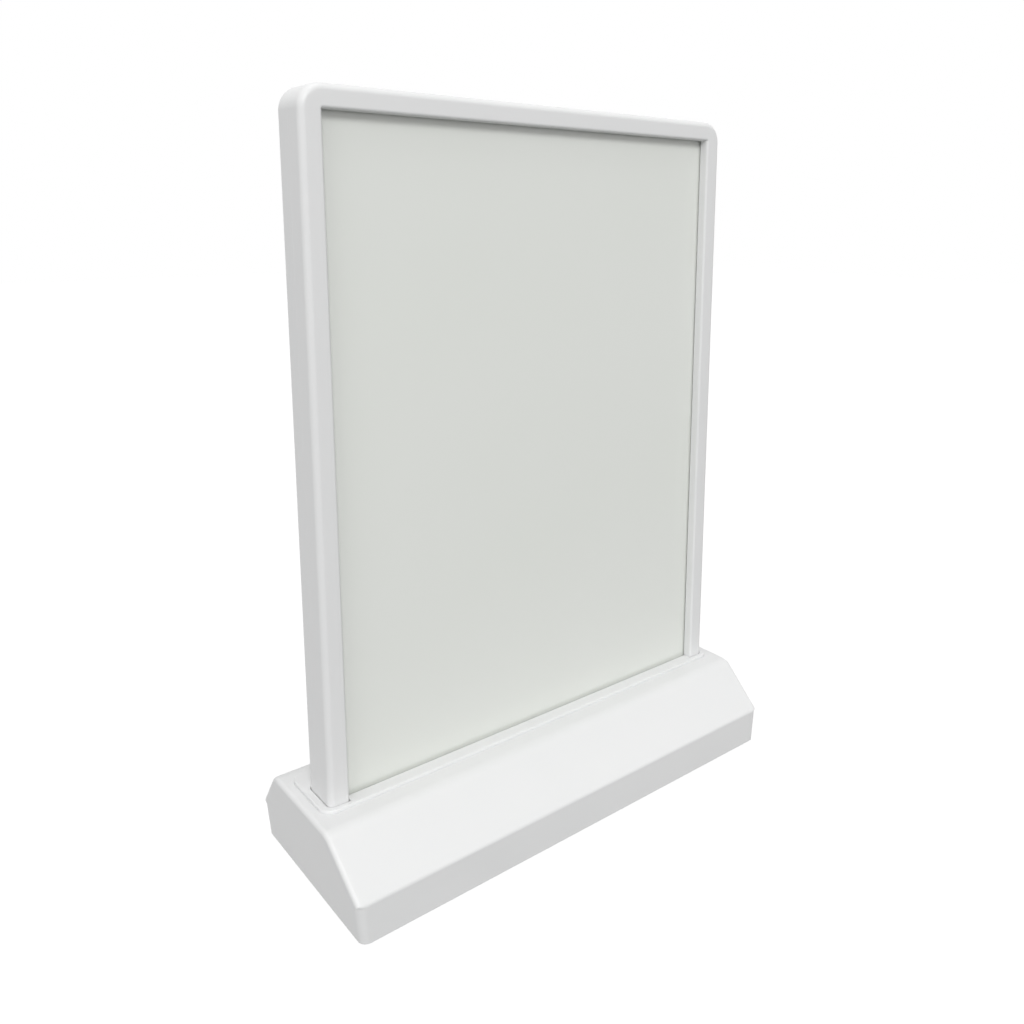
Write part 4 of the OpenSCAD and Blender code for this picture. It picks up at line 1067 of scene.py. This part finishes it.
def screw(head, head_r, shank_r, length):
    """Screw that points up from its head, with a tapered cross in the head."""
    outline = head(head_r, shank_r) + [(shank_r, length - SCREW_TIP), (TIP_R, length)]
    shape = turned("screw", outline, steps=32)
    reach = CROSS_REACH * head_r
    width = CROSS_WIDTH * head_r
    bars = []
    for half_x, half_y in ((reach, width), (width, reach)):
        plan = ((half_x, half_y), (-half_x, half_y), (-half_x, -half_y), (half_x, -half_y))
        levels = ((-PAST, 1), (0, 1), (CROSS_DEPTH, CROSS_TAPER))
        rings = [[Vector((x * k, y * k, z)) for x, y in plan] for z, k in levels]
        bars.append(stacked("cross_bar", rings))
    combine(shape, "DIFFERENCE", *bars)
    return shape


print("the cross is", CROSS_DEPTH / MM, "mm deep")

# %% Set out the screws
for node, head in (("cover_screws", flush_head), ("collar_screws", pan_head), ("board_screws", pan_head)):
    boxes = solids(node)
    size = boxes[0][1] - boxes[0][0]
    places = [middle_of(box, z=box[0].z) for box in boxes]
    set_out(node + "_turned", node, screw(head, size.x / 2, SCREW_R, size.z), "steel", "base", places,
            most_turn=2 * math.pi)
boxes = solids("frame_screws")
size = boxes[0][1] - boxes[0][0]
places = [middle_of(box, y=box[1].y) for box in boxes]
set_out("frame_screws_turned", "frame_screws", screw(pan_head, size.x / 2, FRAME_SCREW_R, size.y), "steel",
        "panel", places, tilt=math.pi / 2, most_turn=2 * math.pi)

# %% [markdown]
# ## Lamp strip
# In the floor of the socket lies a strip with a row of small lamps that shine up into the light guide's
# edge. Each lamp is a white case with a round yellow window. A row with an even pitch is a rule, so a
# geometry tree makes it from the number, the pitch and the sizes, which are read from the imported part.

# %% Build the tree for the row of lamps
WINDOW_SIDES = 20
# share of the case's height that lies just above its top, measured from its middle
JUST_ABOVE = 0.51


def lamp_row_tree():
    """Geometry tree for a row of lamps: a case with a round window at each point of a line."""
    inputs = {"Count": "Int", "Start": "Vector", "Pitch": "Vector", "Case": "Vector",
              "Window radius": "Float", "Window rise": "Float", "Case finish": "Material",
              "Window finish": "Material"}
    tree, given = new_tree("row of lamps", "Lamps", inputs)
    line = add_node(tree, "GeometryNodeMeshLine",
                    {"Count": given["Count"], "Start Location": given["Start"], "Offset": given["Pitch"]})
    case = add_node(tree, "GeometryNodeMeshCube", {"Size": given["Case"]})
    window = add_node(tree, "GeometryNodeMeshCylinder",
                      {"Vertices": WINDOW_SIDES, "Radius": given["Window radius"],
                       "Depth": given["Window rise"]})
    tall = add_node(tree, "ShaderNodeSeparateXYZ", {0: given["Case"]}).outputs["Z"]
    top = add_node(tree, "ShaderNodeMath", {0: tall, 1: given["Window rise"]}, operation="ADD")
    lift = add_node(tree, "ShaderNodeMath", {0: top, 1: 0.5}, operation="MULTIPLY")
    on_top = add_node(tree, "ShaderNodeCombineXYZ", {"Z": lift})
    raised = add_node(tree, "GeometryNodeTransform", {"Geometry": window, "Translation": on_top})
    one = add_node(tree, "GeometryNodeJoinGeometry", {"Geometry": case})
    fill(tree, one, {"Geometry": raised})
    row = add_node(tree, "GeometryNodeInstanceOnPoints", {"Points": line, "Instance": one})
    real = add_node(tree, "GeometryNodeRealizeInstances", {"Geometry": row})
    cased = add_node(tree, "GeometryNodeSetMaterial", {"Geometry": real, "Material": given["Case finish"]})
    place = add_node(tree, "GeometryNodeInputPosition")
    place_z = add_node(tree, "ShaderNodeSeparateXYZ", {0: place}).outputs["Z"]
    start_z = add_node(tree, "ShaderNodeSeparateXYZ", {0: given["Start"]}).outputs["Z"]
    rim_z = add_node(tree, "ShaderNodeMath", {0: tall, 1: JUST_ABOVE, 2: start_z},
                     operation="MULTIPLY_ADD")
    above = add_node(tree, "FunctionNodeCompare", {0: place_z, 1: rim_z}, operation="GREATER_THAN")
    finished = add_node(tree, "GeometryNodeSetMaterial",
                        {"Geometry": cased, "Selection": above, "Material": given["Window finish"]})
    add_node(tree, "NodeGroupOutput", {"Lamps": finished})
    return tree


lamp_row = lamp_row_tree()
print("lamp tree has", len(lamp_row.nodes), "nodes")

# %% Grow the row of lamps
WINDOW_RISE = 0.08 * MM
WINDOW_R = 0.85 * MM

boxes = solids("led_chips")
low, high = boxes[0]
case = high - low - Vector((0, 0, WINDOW_RISE))
lamps = new_piece("lamp_row", [], [])
give(lamps, lamp_row, {"Count": len(boxes), "Start": low + case / 2, "Pitch": boxes[1][0] - low,
                       "Case": case, "Window radius": WINDOW_R, "Window rise": WINDOW_RISE,
                       "Case finish": finishes["board_white"], "Window finish": finishes["phosphor"]})
bake(lamps)
settle(lamps, "base", "phosphor", "led_chips")
